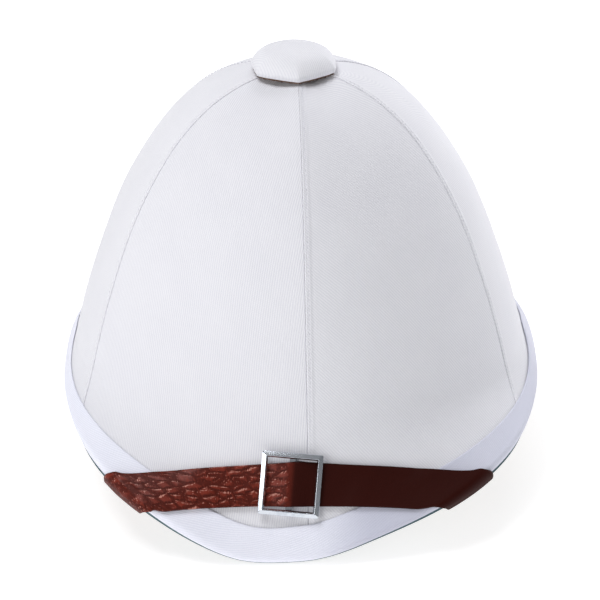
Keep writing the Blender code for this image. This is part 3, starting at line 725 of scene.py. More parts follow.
class Mesher:
    """Makes mesh objects from rows of points."""

    @staticmethod
    def add(
        name: str,
        points: np.ndarray,
        faces: Sequence[Sequence[int]],
        material: bpy.types.Material,
        uvs: Union[np.ndarray, None] = None,
    ) -> bpy.types.Object:
        """Adds a smooth shaded object.

        Args:
            name: Its name.
            points: Its points.
            faces: Its faces.
            material: Its material.
            uvs: Cloth coordinates, one pair for each point.

        Returns:
            The object.
        """
        mesh = bpy.data.meshes.new(name)
        mesh.from_pydata([tuple(p) for p in points.tolist()], [], [tuple(f) for f in faces])
        if uvs is not None:
            layer = mesh.uv_layers.new(name="cloth")
            loops = np.zeros(len(mesh.loops), dtype=np.int32)
            mesh.loops.foreach_get("vertex_index", loops)
            layer.data.foreach_set("uv", uvs[loops].astype(np.float32).ravel())
        mesh.validate()
        mesh.materials.append(material)
        mesh.polygons.foreach_set("use_smooth", [True] * len(mesh.polygons))
        made = bpy.data.objects.new(name, mesh)
        bpy.context.scene.collection.objects.link(made)
        work = bmesh.new()
        work.from_mesh(mesh)
        bmesh.ops.recalc_face_normals(work, faces=work.faces)
        work.to_mesh(mesh)
        work.free()
        return made

    @staticmethod
    def loft(sections: np.ndarray, round_way: bool) -> list[tuple[int, ...]]:
        """Faces through equal closed sections.

        Args:
            sections: Points as section, place, axis.
            round_way: True where the last section joins the first.

        Returns:
            The faces, with caps unless the sections go round.
        """
        count, size = sections.shape[:2]
        faces: list[tuple[int, ...]] = []
        for i in range(count if round_way else count - 1):
            a, b = i * size, (i + 1) % count * size
            for j in range(size):
                k = (j + 1) % size
                faces.append((a + j, b + j, b + k, a + k))
        if not round_way:
            last = (count - 1) * size
            for j in range(size // 2 - 1):
                k = size - 1 - j
                faces.append((j, j + 1, k - 1, k))
                faces.append((last + j + 1, last + j, last + k, last + k - 1))
        return faces

    @staticmethod
    def lofted(
        name: str,
        sections: np.ndarray,
        round_way: bool,
        material: bpy.types.Material,
        uvs: Union[np.ndarray, None] = None,
    ) -> bpy.types.Object:
        """Adds an object lofted through closed sections.

        Args:
            name: Its name.
            sections: Points as section, place, axis.
            round_way: True where the last section joins the first.
            material: Its material.
            uvs: Cloth coordinates, one pair for each point.

        Returns:
            The object.
        """
        return Mesher.add(name, sections.reshape(-1, 3), Mesher.loft(sections, round_way), material, uvs)

    @staticmethod
    def turned(
        name: str,
        rings: np.ndarray,
        material: bpy.types.Material,
        uvs: Union[np.ndarray, None] = None,
    ) -> bpy.types.Object:
        """Adds an object of stacked rings whose first and last ring close to a point.

        Args:
            name: Its name.
            rings: Points as ring, place, axis.
            material: Its material.
            uvs: Cloth coordinates, one pair for each point.

        Returns:
            The object.
        """
        faces = []
        rows, count = rings.shape[:2]
        for j in range(rows - 1):
            for i in range(count):
                k = (i + 1) % count
                faces.append((j * count + i, j * count + k, (j + 1) * count + k, (j + 1) * count + i))
        made = Mesher.add(name, rings.reshape(-1, 3), faces, material, uvs)
        work = bmesh.new()
        work.from_mesh(made.data)
        bmesh.ops.remove_doubles(work, verts=work.verts, dist=1e-6)
        bmesh.ops.recalc_face_normals(work, faces=work.faces)
        work.to_mesh(made.data)
        work.free()
        return made

    @staticmethod
    def lengths(points: np.ndarray, axis: int) -> np.ndarray:
        """Lengths walked along one axis of a grid of points.

        Args:
            points: Grid of points.
            axis: 0 along the rows, 1 across them.

        Returns:
            The lengths at every point.
        """
        steps = np.linalg.norm(np.diff(points, axis=axis), axis=-1)
        pad = np.zeros_like(np.take(points[..., 0], [0], axis=axis))
        return np.concatenate([pad, np.cumsum(steps, axis=axis)], axis=axis)


def smooth(low: float, high: float, value: Any) -> Any:
    """Smooth step from 0 at the low mark to 1 at the high mark.

    Args:
        low: Mark for 0.
        high: Mark for 1.
        value: Number or array.

    Returns:
        The step.
    """
    q = np.clip((value - low) / (high - low), 0.0, 1.0)
    return q * q * (3 - 2 * q)


def soft_noise(points: np.ndarray, size: float, seed: float) -> np.ndarray:
    """Soft noise at points, from about -1 to 1.

    Args:
        points: The points.
        size: Size of its bumps in metres.
        seed: Shift that makes it another noise.

    Returns:
        One number for each point.
    """
    flat = points.reshape(-1, 3) / size + seed
    values = [noise.noise(Vector(p)) for p in flat.tolist()]
    return np.array(values).reshape(points.shape[:-1])


# Pieces

@dataclass
class Layers:
    """Thicknesses and gaps of the layers, the same as in the solids."""

    tape: float = 0.0008
    cloth: float = 0.0010
    shell: float = 0.0030
    lining: float = 0.0008
    gap: float = 0.0003
    binding_width: float = 0.0150
    vent_radius: float = 0.0090


@dataclass
class Crown:
    """The six cloth panels with their seams and topstitching, over the cork shell."""

    form: HelmetForm
    layers: Layers
    columns: int = 84
    brim_rows: int = 22
    crown_rows: int = 84
    seam_gap: float = 0.00006
    edge_roll: float = 0.00026
    stitch_inset: float = 0.0016
    stitch_pitch: float = 0.0025
    stitch_length: float = 0.0018
    stitch_radius: float = 0.00020
    band_width: float = 0.0042
    band_rise: float = 0.00038
    stitch_sink: float = 0.00022
    groove_depth: float = 0.00030
    groove_width: float = 0.00045
    plain_sink: float = 0.00012
    plain_width: float = 0.0030
    wave_size: float = 0.045
    wave_height: float = 0.00030
    ripple_size: float = 0.016
    ripple_height: float = 0.00008
    stitch_rings: tuple[tuple[float, float, float], ...] = (
        (-0.50, 0.35, -1.1),
        (-0.40, 0.8, -0.4),
        (-0.15, 1.0, 0.25),
        (0.15, 1.0, 0.25),
        (0.40, 0.8, -0.4),
        (0.50, 0.35, -1.1),
    )

    def rows(self, top: float) -> np.ndarray:
        """Stations from the rim to a top station."""
        brim = np.linspace(0.0, BRIM_END, self.brim_rows, endpoint=False)
        return np.concatenate([brim, np.linspace(BRIM_END, top, self.crown_rows)])

    def relief(self, distance: np.ndarray, along: np.ndarray, stitched: bool) -> np.ndarray:
        """Height of the cloth near a seam.

        Args:
            distance: Distances from the seam.
            along: Lengths along it.
            stitched: True on the side that is turned under and topstitched.

        Returns:
            Heights over the plain cloth.
        """
        roll = self.edge_roll
        near = np.clip(1 - distance / roll, 0.0, 1.0)
        height = -roll * (1 - np.sqrt(np.maximum(1 - near * near, 0.0)))
        if stitched:
            band = 1 - smooth(0.55 * self.band_width, self.band_width, distance)
            pucker = 0.75 + 0.25 * np.cos(2 * math.pi * along / self.stitch_pitch)
            line = np.exp(-(((distance - self.stitch_inset) / self.groove_width) ** 2))
            height = height + self.band_rise * band - self.groove_depth * line * pucker
        else:
            height = height - self.plain_sink * (1 - smooth(0.0, self.plain_width, distance))
        return height

    def panel(
        self,
        name: str,
        first: float,
        last: float,
        finish: TwillFinish,
        stitched: tuple[bool, bool],
    ) -> bpy.types.Object:
        """One panel between two seams.

        Args:
            name: Name of the piece.
            first: Angle of its first seam.
            last: Angle of its last seam.
            finish: Its cloth.
            stitched: Whether its first and last edge are topstitched.

        Returns:
            The panel.
        """
        shares = np.linspace(0.0, 1.0, self.columns)
        shares = shares - 0.72 * np.sin(2 * math.pi * shares) / (2 * math.pi)
        hole = self.layers.vent_radius + 2 * self.layers.gap + self.layers.cloth
        stations = self.rows(self.form.top_station(hole))
        angles = first + (last - first) * shares
        grid_a, grid_s = np.meshgrid(angles, stations, indexing="ij")
        base = self.form.outer(grid_a, grid_s)
        radius = np.hypot(base[..., 0], base[..., 1])
        pull = (self.seam_gap / 2) * (1 - 2 * shares)[:, None]
        grid_a = grid_a + np.degrees(pull / radius)
        base, normal, _ = self.form.frame(grid_a, grid_s)
        across = Mesher.lengths(base, 0)
        along = Mesher.lengths(base, 1)
        width = across[-1:, :]
        height = self.relief(across, along, stitched[0]) + self.relief(width - across, along, stitched[1])
        wave = soft_noise(base, self.wave_size, 3.1) * self.wave_height
        wave = wave + soft_noise(base, self.ripple_size, 7.7) * self.ripple_height
        inset = smooth(0.0, 0.012, np.minimum(across, width - across))
        brim = smooth(0.0, 0.10, grid_s)
        pulled = np.clip((grid_a - first) / (last - first), 0.002, 0.998)
        sink = self.form.pillow(first + (last - first) * pulled, grid_s)
        outside = base + normal * (height + wave * inset * brim - sink)[..., None]
        inside = base - normal * (self.layers.cloth + sink)[..., None]
        sections = np.concatenate([outside, inside[:, ::-1]], axis=1)
        pairs = np.stack([across - width / 2, along], -1)
        pairs = np.concatenate([pairs, pairs[:, ::-1]], axis=1).reshape(-1, 2)
        made = Mesher.lofted(name, sections, False, finish.material(), pairs)
        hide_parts(name)
        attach(made, "root")
        return made

    def stitches(
        self,
        name: str,
        angle: float,
        side: int,
        material: bpy.types.Material,
    ) -> bpy.types.Object:
        """Row of topstitches beside one seam, as one piece.

        Args:
            name: Name of the piece.
            angle: Angle of the seam.
            side: 1 for the row at the larger angles, -1 for the other.
            material: Thread.

        Returns:
            The row.
        """
        stations = np.linspace(0.10, self.form.top_station(0.016), 900)
        base = self.form.outer(np.full(900, angle), stations)
        radius = np.hypot(base[:, 0], base[:, 1])
        angles = angle + side * np.degrees(self.stitch_inset / radius)
        track, normal, _ = self.form.frame(angles, stations)
        track = track + normal * (self.band_rise - self.stitch_sink)
        walked = np.concatenate([[0.0], np.cumsum(np.linalg.norm(np.diff(track, axis=0), axis=1))])
        count = int(walked[-1] / self.stitch_pitch)
        points: list[np.ndarray] = []
        faces: list[tuple[int, ...]] = []
        rings = self.stitch_rings
        for n in range(count):
            middle = (n + 0.5) * self.stitch_pitch
            spots = np.array([middle + r[0] * self.stitch_length for r in rings])
            centre = np.stack([np.interp(spots, walked, track[:, a]) for a in range(3)], -1)
            up = np.stack([np.interp(spots, walked, normal[:, a]) for a in range(3)], -1)
            way = centre[-1] - centre[0]
            way = way / np.linalg.norm(way)
            start = len(points) * 6
            for spot, upward, (_, size, rise) in zip(centre, up, rings):
                beside = np.cross(way, upward)
                beside = beside / np.linalg.norm(beside)
                turns = np.arange(6) * math.pi / 3
                ring = spot + upward * rise * self.stitch_radius + self.stitch_radius * size * (
                    np.cos(turns)[:, None] * beside + np.sin(turns)[:, None] * upward)
                points.append(ring)
            for r in range(5):
                a = start + r * 6
                for j in range(6):
                    k = (j + 1) % 6
                    faces.append((a + j, a + k, a + 6 + k, a + 6 + j))
            faces.append(tuple(range(start, start + 6)))
            faces.append(tuple(range(start + 30, start + 36)))
        made = Mesher.add(name, np.concatenate(points), faces, material)
        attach(made, "root")
        return made

    def shell(self, finish: PlainFinish) -> bpy.types.Object:
        """The smooth cork shell that shows inside.

        Args:
            finish: Its finish.

        Returns:
            The shell.
        """
        angles = np.linspace(0.0, 360.0, 180, endpoint=False)
        top = self.form.top_station(self.layers.vent_radius)
        brim = np.linspace(0, BRIM_END, 12, endpoint=False)
        stations = np.concatenate([brim, np.linspace(BRIM_END, top, 46)])
        grid_a, grid_s = np.meshgrid(angles, stations, indexing="ij")
        sink = self.form.pillow(grid_a, grid_s)
        outside = self.form.place(grid_a, grid_s, 0.0, -(self.layers.cloth + self.layers.gap) - sink)
        depth = self.layers.cloth + self.layers.gap + self.layers.shell
        inside = self.form.place(grid_a, grid_s, 0.0, -depth - sink)
        sections = np.concatenate([outside, inside[:, ::-1]], axis=1)
        made = Mesher.lofted("shell_cork", sections, True, finish.material())
        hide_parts("shell")
        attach(made, "root")
        return made

    def build(self) -> list[bpy.types.Object]:
        """Builds the shell, the panels and their stitches.

        Returns:
            The pieces.
        """
        seams = self.form.seams
        thread = PlainFinish("seam_thread", (0.80, 0.80, 0.84), (0.62, 0.62, 0.68), 900.0, 0.00004)
        steep = TwillFinish("twill_front_left", lean=88.0, contrast=0.58)
        slant = TwillFinish("twill_front_right", lean=58.0, pitch=0.0011, contrast=0.50)
        side = TwillFinish("twill_side", lean=64.0)
        rear = TwillFinish("twill_rear", lean=78.0)
        rows = (
            ("panel_front_right", seams[0], seams[1], slant, (True, False)),
            ("panel_side_right", seams[1], seams[2], side, (True, False)),
            ("panel_back_right", seams[2], seams[3], rear, (True, False)),
            ("panel_back_left", seams[3], seams[4], rear, (True, False)),
            ("panel_side_left", seams[4], seams[5], side, (False, True)),
            ("panel_front_left", seams[5] - 360, seams[0], steep, (False, False)),
        )
        made = [self.shell(PlainFinish("cork", (0.60, 0.49, 0.35), (0.42, 0.31, 0.20), 260.0, 0.0003))]
        made += [self.panel(*row) for row in rows]
        stitched = (
            ("stitches_front", seams[0], 1),
            ("stitches_right", seams[1], 1),
            ("stitches_right_rear", seams[2], 1),
            ("stitches_rear", seams[3], 1),
            ("stitches_left_rear", seams[4], -1),
            ("stitches_left", seams[5], -1),
        )
        sewn = thread.material()
        made += [self.stitches(name, angle, way, sewn) for name, angle, way in stitched]
        return made


@dataclass
class Rim:
    """The folded tape round the rim and the thin lining under the brim."""

    form: HelmetForm
    layers: Layers
    steps: int = 300
    lip: float = 0.0032
    bevel: float = 0.0005
    tape_wave: float = 0.00022
    tape_wave_size: float = 0.022

    def binding(self, finish: TwillFinish) -> bpy.types.Object:
        """The tape, folded over the rim and rolled at its edges.

        Args:
            finish: Its cloth.

        Returns:
            The tape.
        """
        lay = self.layers
        top = lay.gap + lay.tape
        bottom = -(lay.cloth + lay.shell + 2 * lay.gap + lay.tape)
        middle = (top + bottom) / 2
        angles = 180.0 + np.linspace(0.0, 360.0, self.steps, endpoint=False)
        edges = np.array([self.form.station_across(a, lay.binding_width) for a in angles])
        shares = (1.0, 0.975, 0.93, 0.85, 0.7, 0.5, 0.3, 0.15)
        under = (0.12, 0.3, 0.5)
        turns = np.linspace(0.0, math.pi, 15)
        faces = []
        wave = soft_noise(self.form.outer(angles, edges), self.tape_wave_size, 5.0) * self.tape_wave
        rolled = {1.0: 0.00045, 0.975: 0.00012}
        for skin in (0.0, lay.tape):
            radius = (top - bottom) / 2 - skin
            face = []
            for share in shares:
                loose = wave * share - rolled.get(share, 0.0) if skin == 0.0 else 0.0
                face.append(self.form.place(angles, edges * share, 0.0, top - skin + loose))
            for turn in turns:
                face.append(self.form.place(
                    angles, 0.0 * angles, radius * math.sin(turn), middle + radius * math.cos(turn)))
            face += [self.form.place(angles, edges * s, 0.0, bottom + skin) for s in under]
            faces.append(face if skin == 0.0 else face[::-1])
        sections = np.stack(faces[0] + faces[1], 1)
        across = Mesher.lengths(sections, 1)
        along = Mesher.lengths(sections[:, :1], 0) + 0 * across
        pairs = np.stack([along, across], -1).reshape(-1, 2)
        made = Mesher.lofted("edge_binding_tape", sections, True, finish.material(), pairs)
        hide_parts("edge_binding")
        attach(made, "root")
        return made

    def lining(self, finish: PlainFinish) -> bpy.types.Object:
        """The lining with the lip on which the helmet stands.

        Args:
            finish: Its cloth.

        Returns:
            The lining.
        """
        lay = self.layers
        angles = np.linspace(0.0, 360.0, self.steps, endpoint=False)
        low = -(lay.cloth + lay.shell + lay.tape + 3 * lay.gap)
        high = -(lay.cloth + lay.shell + 2 * lay.gap)
        edges = np.array([self.form.station_across(a, lay.binding_width) for a in angles])
        mix = ((0.0, 0.0), (0.5, 0.0), (1.0, 0.0), (0.75, 0.25), (0.5, 0.5), (0.0, 0.9), (0.0, 1.0))
        stations = [edges * tape + BRIM_END * brim for tape, brim in mix]
        tops = (low, low, high, high, high, high, high)
        zero = 0.0 * angles
        rows = [
            self.form.place(angles, zero, self.lip, low - lay.lining + self.bevel),
            self.form.place(angles, zero, self.lip, low),
        ]
        rows += [self.form.place(angles, s, 0.0, t) for s, t in zip(stations, tops)]
        back = zip(stations[::-1], tops[::-1])
        rows += [self.form.place(angles, s, 0.0, t - lay.lining) for s, t in back]
        rows.append(self.form.place(angles, zero, self.lip - self.bevel, low - lay.lining))
        sections = np.stack(rows, 1)
        sections[..., 2] = np.maximum(sections[..., 2], 0.0)
        made = Mesher.lofted("brim_lining_cloth", sections, True, finish.material())
        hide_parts("under_brim_lining")
        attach(made, "root")
        return made

    def build(self) -> list[bpy.types.Object]:
        """Builds both pieces."""
        tape = TwillFinish(
            "twill_tape",
            light=(0.855, 0.865, 0.955),
            shade=(0.70, 0.715, 0.83),
            lean=18.0,
            pitch=0.0012,
            contrast=0.34,
            # Painted shade over the right part of the tape.
            painted_shade=0.62,
        )
        cloth = PlainFinish("lining_cloth", (0.115, 0.19, 0.21), (0.060, 0.11, 0.13), 700.0, 0.00008, 0.8)
        return [self.binding(tape), self.lining(cloth)]


@dataclass
class Cap:
    """The cloth covered button on the crown and the collar that carries it."""

    form: HelmetForm
    radius: float = 0.0252
    corner_cut: float = 0.001085
    corner_spread: float = 0.16
    oval_share: float = 0.925
    dome_share: float = 0.93
    dome_power: float = 5.0
    edge: float = 0.0030
    dome: float = 0.0076
    drop: float = 0.0003
    shift: float = -0.0016
    turned: float = 6.0
    seat: float = 0.0011
    collar_radius: float = 0.0140
    collar_rise: float = 0.0008
    collar_seat: float = 0.0002
    collar_depth: float = 0.0080
    collar_soft: float = 0.0002
    tube_radius: float = 0.0075
    around: int = 144

    def outline(self) -> np.ndarray:
        """Rounded hexagon with one corner to the front.

        Returns:
            Offsets right and back, one row for each place round it.
        """
        turns = np.linspace(0.0, 2 * math.pi, self.around, endpoint=False)
        rows = []
        for turn in turns:
            local = (turn - math.radians(self.turned) + math.pi / 6) % (math.pi / 3) - math.pi / 6
            flat = self.radius * math.cos(math.pi / 6) / math.cos(math.pi / 6 - abs(local))
            rear = 0.5 - 0.5 * math.cos(turn)
            cut = self.corner_cut * (0.5 + rear) * math.exp(-((local / self.corner_spread) ** 2))
            oval = self.radius * self.oval_share
            reach = flat - cut
            reach = reach + (oval - reach) * rear ** 2
            rows.append((reach * math.sin(turn), -reach * math.cos(turn)))
        return np.array(rows)

    def button(self, finish: TwillFinish) -> bpy.types.Object:
        """The domed cap, dished underneath.

        Args:
            finish: Its cloth.

        Returns:
            The button.
        """
        outline = self.outline()
        top = self.form.crown_top_height + self.form.lift
        rim = top - self.drop
        rows = [(share, top + self.seat) for share in (0.0, 0.50, 0.74)]
        hem = ((0.84, 0.26), (0.90, 0.15), (0.96, 0.01), (0.985, 0.04))
        rows += [(share, rim + rise * self.edge) for share, rise in hem]
        for turn in np.linspace(0.5, 2.4, 6):
            rows.append((1.0 - 0.012 * math.cos(turn), rim + self.edge * (0.46 - 0.30 * math.cos(turn))))
        tall = self.dome + 0.16 * self.edge
        for share in (0.97, 0.94, 0.90, 0.84, 0.76, 0.66, 0.55, 0.44, 0.33, 0.22, 0.11, 0.0):
            rows.append((share, rim + self.edge * 0.84 + tall * (1 - share ** self.dome_power)))
        points = []
        pairs = []
        for share, height in rows:
            rounded = (1 - share ** 3) * float(height > rim + self.edge)
            for x, y in outline:
                ease = 1 + rounded * (self.dome_share * self.radius / math.hypot(x, y) - 1)
                right = self.shift + x * share * ease
                back = self.form.crown_setback + y * share * ease
                points.append((right, back, height))
                pairs.append((x * share, y * share))
        rings = np.array(points).reshape(len(rows), len(outline), 3)
        made = Mesher.turned("top_button_cap", rings, finish.material(), np.array(pairs))
        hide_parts("top_button")
        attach(made, "root")
        return made

    def backing(self, finish: PlainFinish) -> bpy.types.Object:
        """The frayed brown backing under the button's edge: brown cloth that shows there, dark enough to
        serve as painted shade for the gap, so it reads as a dark line.

        Args:
            finish: Its brown cloth, dark as painted shade for the gap.

        Returns:
            The backing.
        """
        outline = self.outline()
        top = self.form.crown_top_height + self.form.lift
        rows = (
            (0.66, -0.0007),
            (0.66, -0.0003),
            (0.955, -0.0003),
            (0.965, -0.0012),
            (0.90, -0.0016),
            (0.70, -0.0010),
        )
        steps = np.arange(len(outline))
        ragged = 1 + 0.012 * np.sin(steps * 2.3) + 0.010 * np.sin(steps * 5.1)
        points = []
        for (x, y), fray in zip(outline, ragged):
            for share, height in rows:
                size = share * (fray if share > 0.8 else 1.0)
                points.append((self.shift + x * size, self.form.crown_setback + y * size, top + height))
        sections = np.array(points).reshape(len(outline), len(rows), 3)
        made = Mesher.lofted("button_backing_and_gap_shade", sections, True, finish.material())
        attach(made, "root")
        return made

    def collar(self, finish: PlainFinish) -> bpy.types.Object:
        """The plain collar in the vent.

        Args:
            finish: Its finish.

        Returns:
            The collar.
        """
        height = self.form.crown_top_height + self.form.lift
        under, top = height - self.collar_seat, height + self.collar_rise
        r, t = self.collar_radius, self.tube_radius
        low, soft = height - self.collar_depth, self.collar_soft
        rows = (
            (0.0, low),
            (t - 2 * soft, low),
            (t, low + 2 * soft),
            (t, under),
            (r - soft, under),
            (r, under + soft),
            (r, top - soft),
            (r - soft, top),
            (0.0, top),
        )
        turns = np.linspace(0.0, 2 * math.pi, 64, endpoint=False)
        centre = self.form.crown_setback
        points = [(q * math.sin(a), centre - q * math.cos(a), h) for q, h in rows for a in turns]
        rings = np.array(points).reshape(len(rows), len(turns), 3)
        made = Mesher.turned("button_collar_disc", rings, finish.material())
        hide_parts("button_collar")
        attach(made, "root")
        return made

    def build(self) -> list[bpy.types.Object]:
        """Builds the button, its backing and the collar."""
        cloth = TwillFinish("twill_button", lean=62.0, pitch=0.00115, contrast=0.34, specks=0.0)
        tan = PlainFinish("collar_tan", (0.55, 0.34, 0.18), (0.30, 0.15, 0.08), 500.0)
        # Dark brown: partly the backing's own brown, partly painted shade for the gap under the button.
        felt_and_gap_shade = PlainFinish("backing_and_gap_shade", (0.16, 0.085, 0.055), (0.035, 0.022, 0.018), 700.0)
        return [self.button(cloth), self.backing(felt_and_gap_shade), self.collar(tan)]


@dataclass
class Strap:
    """The leather strap with its folds over the rim, the polished slide and the hidden studs."""

    form: HelmetForm
    layers: Layers
    width: float = 0.0238
    thickness: float = 0.0020
    height: float = 0.0198
    fold_share: float = 0.375
    drop: float = 0.0013
    lean: float = 0.0018
    dip: float = 0.0180
    fold_reach: float = 0.0038
    fold_drift: float = 5.0
    seat: float = 0.0005
    hidden_seat: float = 0.0017
    buckle_length: float = 0.0316
    buckle_rim: float = 0.0031
    buckle_thickness: float = 0.0019
    buckle_bar: float = 0.0012
    buckle_bar_width: float = 0.0030
    buckle_rest: float = 0.0004
    buckle_room: float = 0.0014
    buckle_seat: float = 0.0009
    buckle_corner: float = 0.0012
    buckle_tilt: float = 7.3
    buckle_shift: float = -0.0023
    across: int = 25
    rung_step: float = 0.0105
    sample_step: float = 0.0009
    edge_round: float = 0.0007
    edge_width: float = 0.0009
    crease_size: float = 0.0042
    crease_height: float = 0.00018
    run: tuple[tuple[float, float, float], ...] = (
        (47.0, 0.085, 42.0),
        (53.5, 0.150, 42.0),
        (60.0, 0.215, 42.0),
        (66.5, 0.280, 44.0),
        (73.0, 0.335, 48.0),
        (78.0, 0.375, 52.0),
        (82.5, 0.420, 55.0),
        (86.0, 0.460, 56.0),
    )
    low_fold: float = field(init=False)
    top_fold: float = field(init=False)
    middle_top: float = field(init=False)
    buckle: tuple[np.ndarray, np.ndarray, np.ndarray, np.ndarray] = field(init=False)

    def __post_init__(self) -> None:
        """Works out where the folds lie and where the slide sits."""
        self.low_fold = self.rim_angle(self.height)
        self.top_fold = self.rim_angle(self.height + self.fold_share * self.width)
        foot = self.station_at_height(0.0, self.height - self.drop)
        stations = np.linspace(foot, foot + 0.3, 400)
        points = self.form.outer(np.zeros(400), stations)
        reach = np.linalg.norm(points - points[0], axis=1)
        self.middle_top = float(np.interp(self.width, reach, points[:, 2])) - self.form.lift
        self.buckle = self.buckle_frame()

    def rim_angle(self, height: float) -> float:
        """Angle in the right half at which the rim has risen to a height."""
        angles = np.linspace(0.0, 90.0, 1800)
        return float(np.interp(height, self.form.rim(angles)[2], angles))

    def station_at_height(self, angle: float, height: float) -> float:
        """Station of the brim at which its surface passes a height."""
        stations = np.linspace(0.0, BRIM_END, 600)
        heights = self.form.outer(np.full(600, angle), stations)[:, 2] - self.form.lift
        return float(np.interp(height, heights, stations))

    def rung(self, way: float) -> tuple[np.ndarray, np.ndarray]:
        """Three places across the strap's under face on the peak, and the ways out from them.

        Args:
            way: Share of the way from the middle to the right fold.

        Returns:
            The places and the ways out.
        """
        low_angle, top_angle = self.low_fold * way, self.top_fold * way
        fold_top = self.height + self.fold_share * self.width
        share = abs(way)
        low = self.height - self.drop - self.lean * share ** 2
        top = self.middle_top + (fold_top - self.middle_top) * share - self.dip * share ** 4 * (1 - share)
        low_station = self.station_at_height(low_angle, low)
        top_station = self.station_at_height(top_angle, top)
        past = max(0.0, float(self.form.rim(np.array(low_angle))[2]) - low)
        places, outs, lifts = [], [], []
        for angle, station, over in ((low_angle, low_station, past), (top_angle, top_station, 0.0)):
            edge = self.form.station_across(angle, self.layers.binding_width)
            on_tape = 1 - float(smooth(1.02 * edge, 1.40 * edge, station))
            lift = self.layers.gap + self.seat + (self.layers.tape + self.layers.gap) * on_tape
            point, normal, out = self.form.frame(angle, station)
            places.append(point + normal * lift + out * over)
            outs.append(normal)
            lifts.append(lift)
        angle, station = (low_angle + top_angle) / 2, (low_station + top_station) / 2
        point, normal, _ = self.form.frame(angle, station)
        middle = (places[0] + places[1]) / 2
        need = max(lifts) - float(np.dot(middle - point, normal))
        middle = middle + normal * max(0.0, need)
        return np.array([places[0], middle, places[1]]), np.array([outs[0], normal, outs[1]])

    def buckle_frame(self) -> tuple[np.ndarray, np.ndarray, np.ndarray, np.ndarray]:
        """Centre, way along, way up and way out of the slide.

        Returns:
            The centre and the three ways.
        """
        way = self.buckle_shift / float(self.form.outer(self.low_fold, 0.0)[0])
        places, _ = self.rung(way)
        ahead, behind = self.rung(way + 0.04)[0][1], self.rung(way - 0.04)[0][1]
        along = (ahead - behind) / np.linalg.norm(ahead - behind)
        up = places[2] - places[0]
        up = up - along * np.dot(up, along)
        up = up / np.linalg.norm(up)
        out = np.cross(along, up)
        turn = math.radians(self.buckle_tilt)
        tilted_along = along * math.cos(turn) - up * math.sin(turn)
        tilted_up = up * math.cos(turn) + along * math.sin(turn)
        return (places[0] + places[2]) / 2, tilted_along, tilted_up, out

    def depth_inside(self, station: float) -> float:
        """Depth of the strap's face below the cloth where it runs inside.

        Args:
            station: Station of the surface.

        Returns:
            The depth.
        """
        lay = self.layers
        base = lay.cloth + lay.shell + self.hidden_seat
        rim = base + lay.tape + lay.lining + 4 * lay.gap
        brim = base + lay.lining + 3 * lay.gap
        crown = base + 2 * lay.gap
        depth = rim + (brim - rim) * float(smooth(0.45 * BRIM_END, 0.70 * BRIM_END, station))
        return depth + (crown - brim) * float(smooth(1.45 * BRIM_END, 1.85 * BRIM_END, station))

    def fold(self, turn: float, side: int) -> tuple[np.ndarray, np.ndarray]:
        """Places across the strap where it goes round the rim.

        Args:
            turn: Share of the half turn.
            side: 1 on the right, -1 on the left.

        Returns:
            The places and the ways out.
        """
        lay = self.layers
        start = lay.gap + self.seat + lay.tape + lay.gap
        end = -self.depth_inside(0.0)
        middle, half = (start + end) / 2, (start - end) / 2
        bend = math.pi * turn
        reach = self.fold_reach * math.sin(bend) ** 0.8
        offset = middle + half * math.copysign(abs(math.cos(bend)) ** 0.8, math.cos(bend))
        places, outs = [], []
        for share in (0.0, 0.5, 1.0):
            drift = self.fold_drift * (1 - (1 - turn) ** (1.2 + 1.2 * share))
            angle = self.low_fold + (self.top_fold - self.low_fold) * share + drift
            point, normal, away = self.form.frame(side * angle, 0.0)
            past = (self.drop + self.lean) * (1 - share) * max(0.0, 1 - 2 * turn)
            places.append(point + normal * offset + away * (reach + past))
            outs.append(normal * math.cos(bend) + away * math.sin(bend))
        return np.array(places), np.array(outs)

    def hidden(self, row: tuple[float, float, float], side: int) -> tuple[np.ndarray, np.ndarray]:
        """Places across the strap where it runs on inside.

        Args:
            row: Angle, station and climb of its middle.
            side: 1 on the right, -1 on the left.

        Returns:
            The places and the ways out.
        """
        angle, station, climb = row[0], row[1], math.radians(row[2])
        outer, bit = self.form.outer, 0.005
        per_degree = float(np.linalg.norm(outer(angle + 0.5, station) - outer(angle - 0.5, station)))
        climbed = float(np.linalg.norm(outer(angle, station + bit) - outer(angle, station - bit)))
        per_station = climbed / (2 * bit)
        places, outs = [], []
        for share in (1, 0, -1):
            turn = angle - share * self.width / 2 * math.sin(climb) / per_degree
            rise = max(station + share * self.width / 2 * math.cos(climb) / per_station, 0.0)
            point, normal, _ = self.form.frame(side * turn, rise)
            places.append(point - normal * self.depth_inside(rise))
            outs.append(-normal)
        return np.array(places), np.array(outs)

    def route(self) -> tuple[np.ndarray, np.ndarray, np.ndarray]:
        """All rungs from the left stud to the right stud.

        Returns:
            Places, ways out, and how far each rung is raised over the slide's bar.
        """
        rungs = [self.hidden(row, -1) for row in reversed(self.run)]
        rungs += [self.fold(i / 10, -1) for i in range(10, 0, -1)]
        centre = self.buckle_shift / float(self.form.outer(self.low_fold, 0.0)[0])
        near = [centre + self.rung_step * i for i in range(-17, 18)]
        left = [-1 + (near[0] + 1) * i / 16 for i in range(16)]
        right = [near[-1] + (1 - near[-1]) * (i + 1) / 16 for i in range(16)]
        lifts = [0.0] * len(rungs)
        window = self.buckle_length / 2 - self.buckle_rim
        rise = self.buckle_rest + self.buckle_bar + self.layers.gap
        for way in left + near + right:
            places, outs = self.rung(way)
            distance = abs(float(np.dot(places[1] - self.buckle[0], self.buckle[1])))
            lifts.append(rise * (1 - float(smooth(0.30 * self.buckle_bar_width, 0.85 * window, distance))))
            rungs.append((places, outs))
        rungs += [self.fold(i / 10, 1) for i in range(1, 11)]
        rungs += [self.hidden(row, 1) for row in self.run]
        lifts += [0.0] * (10 + len(self.run))
        return np.array([r[0] for r in rungs]), np.array([r[1] for r in rungs]), np.array(lifts)

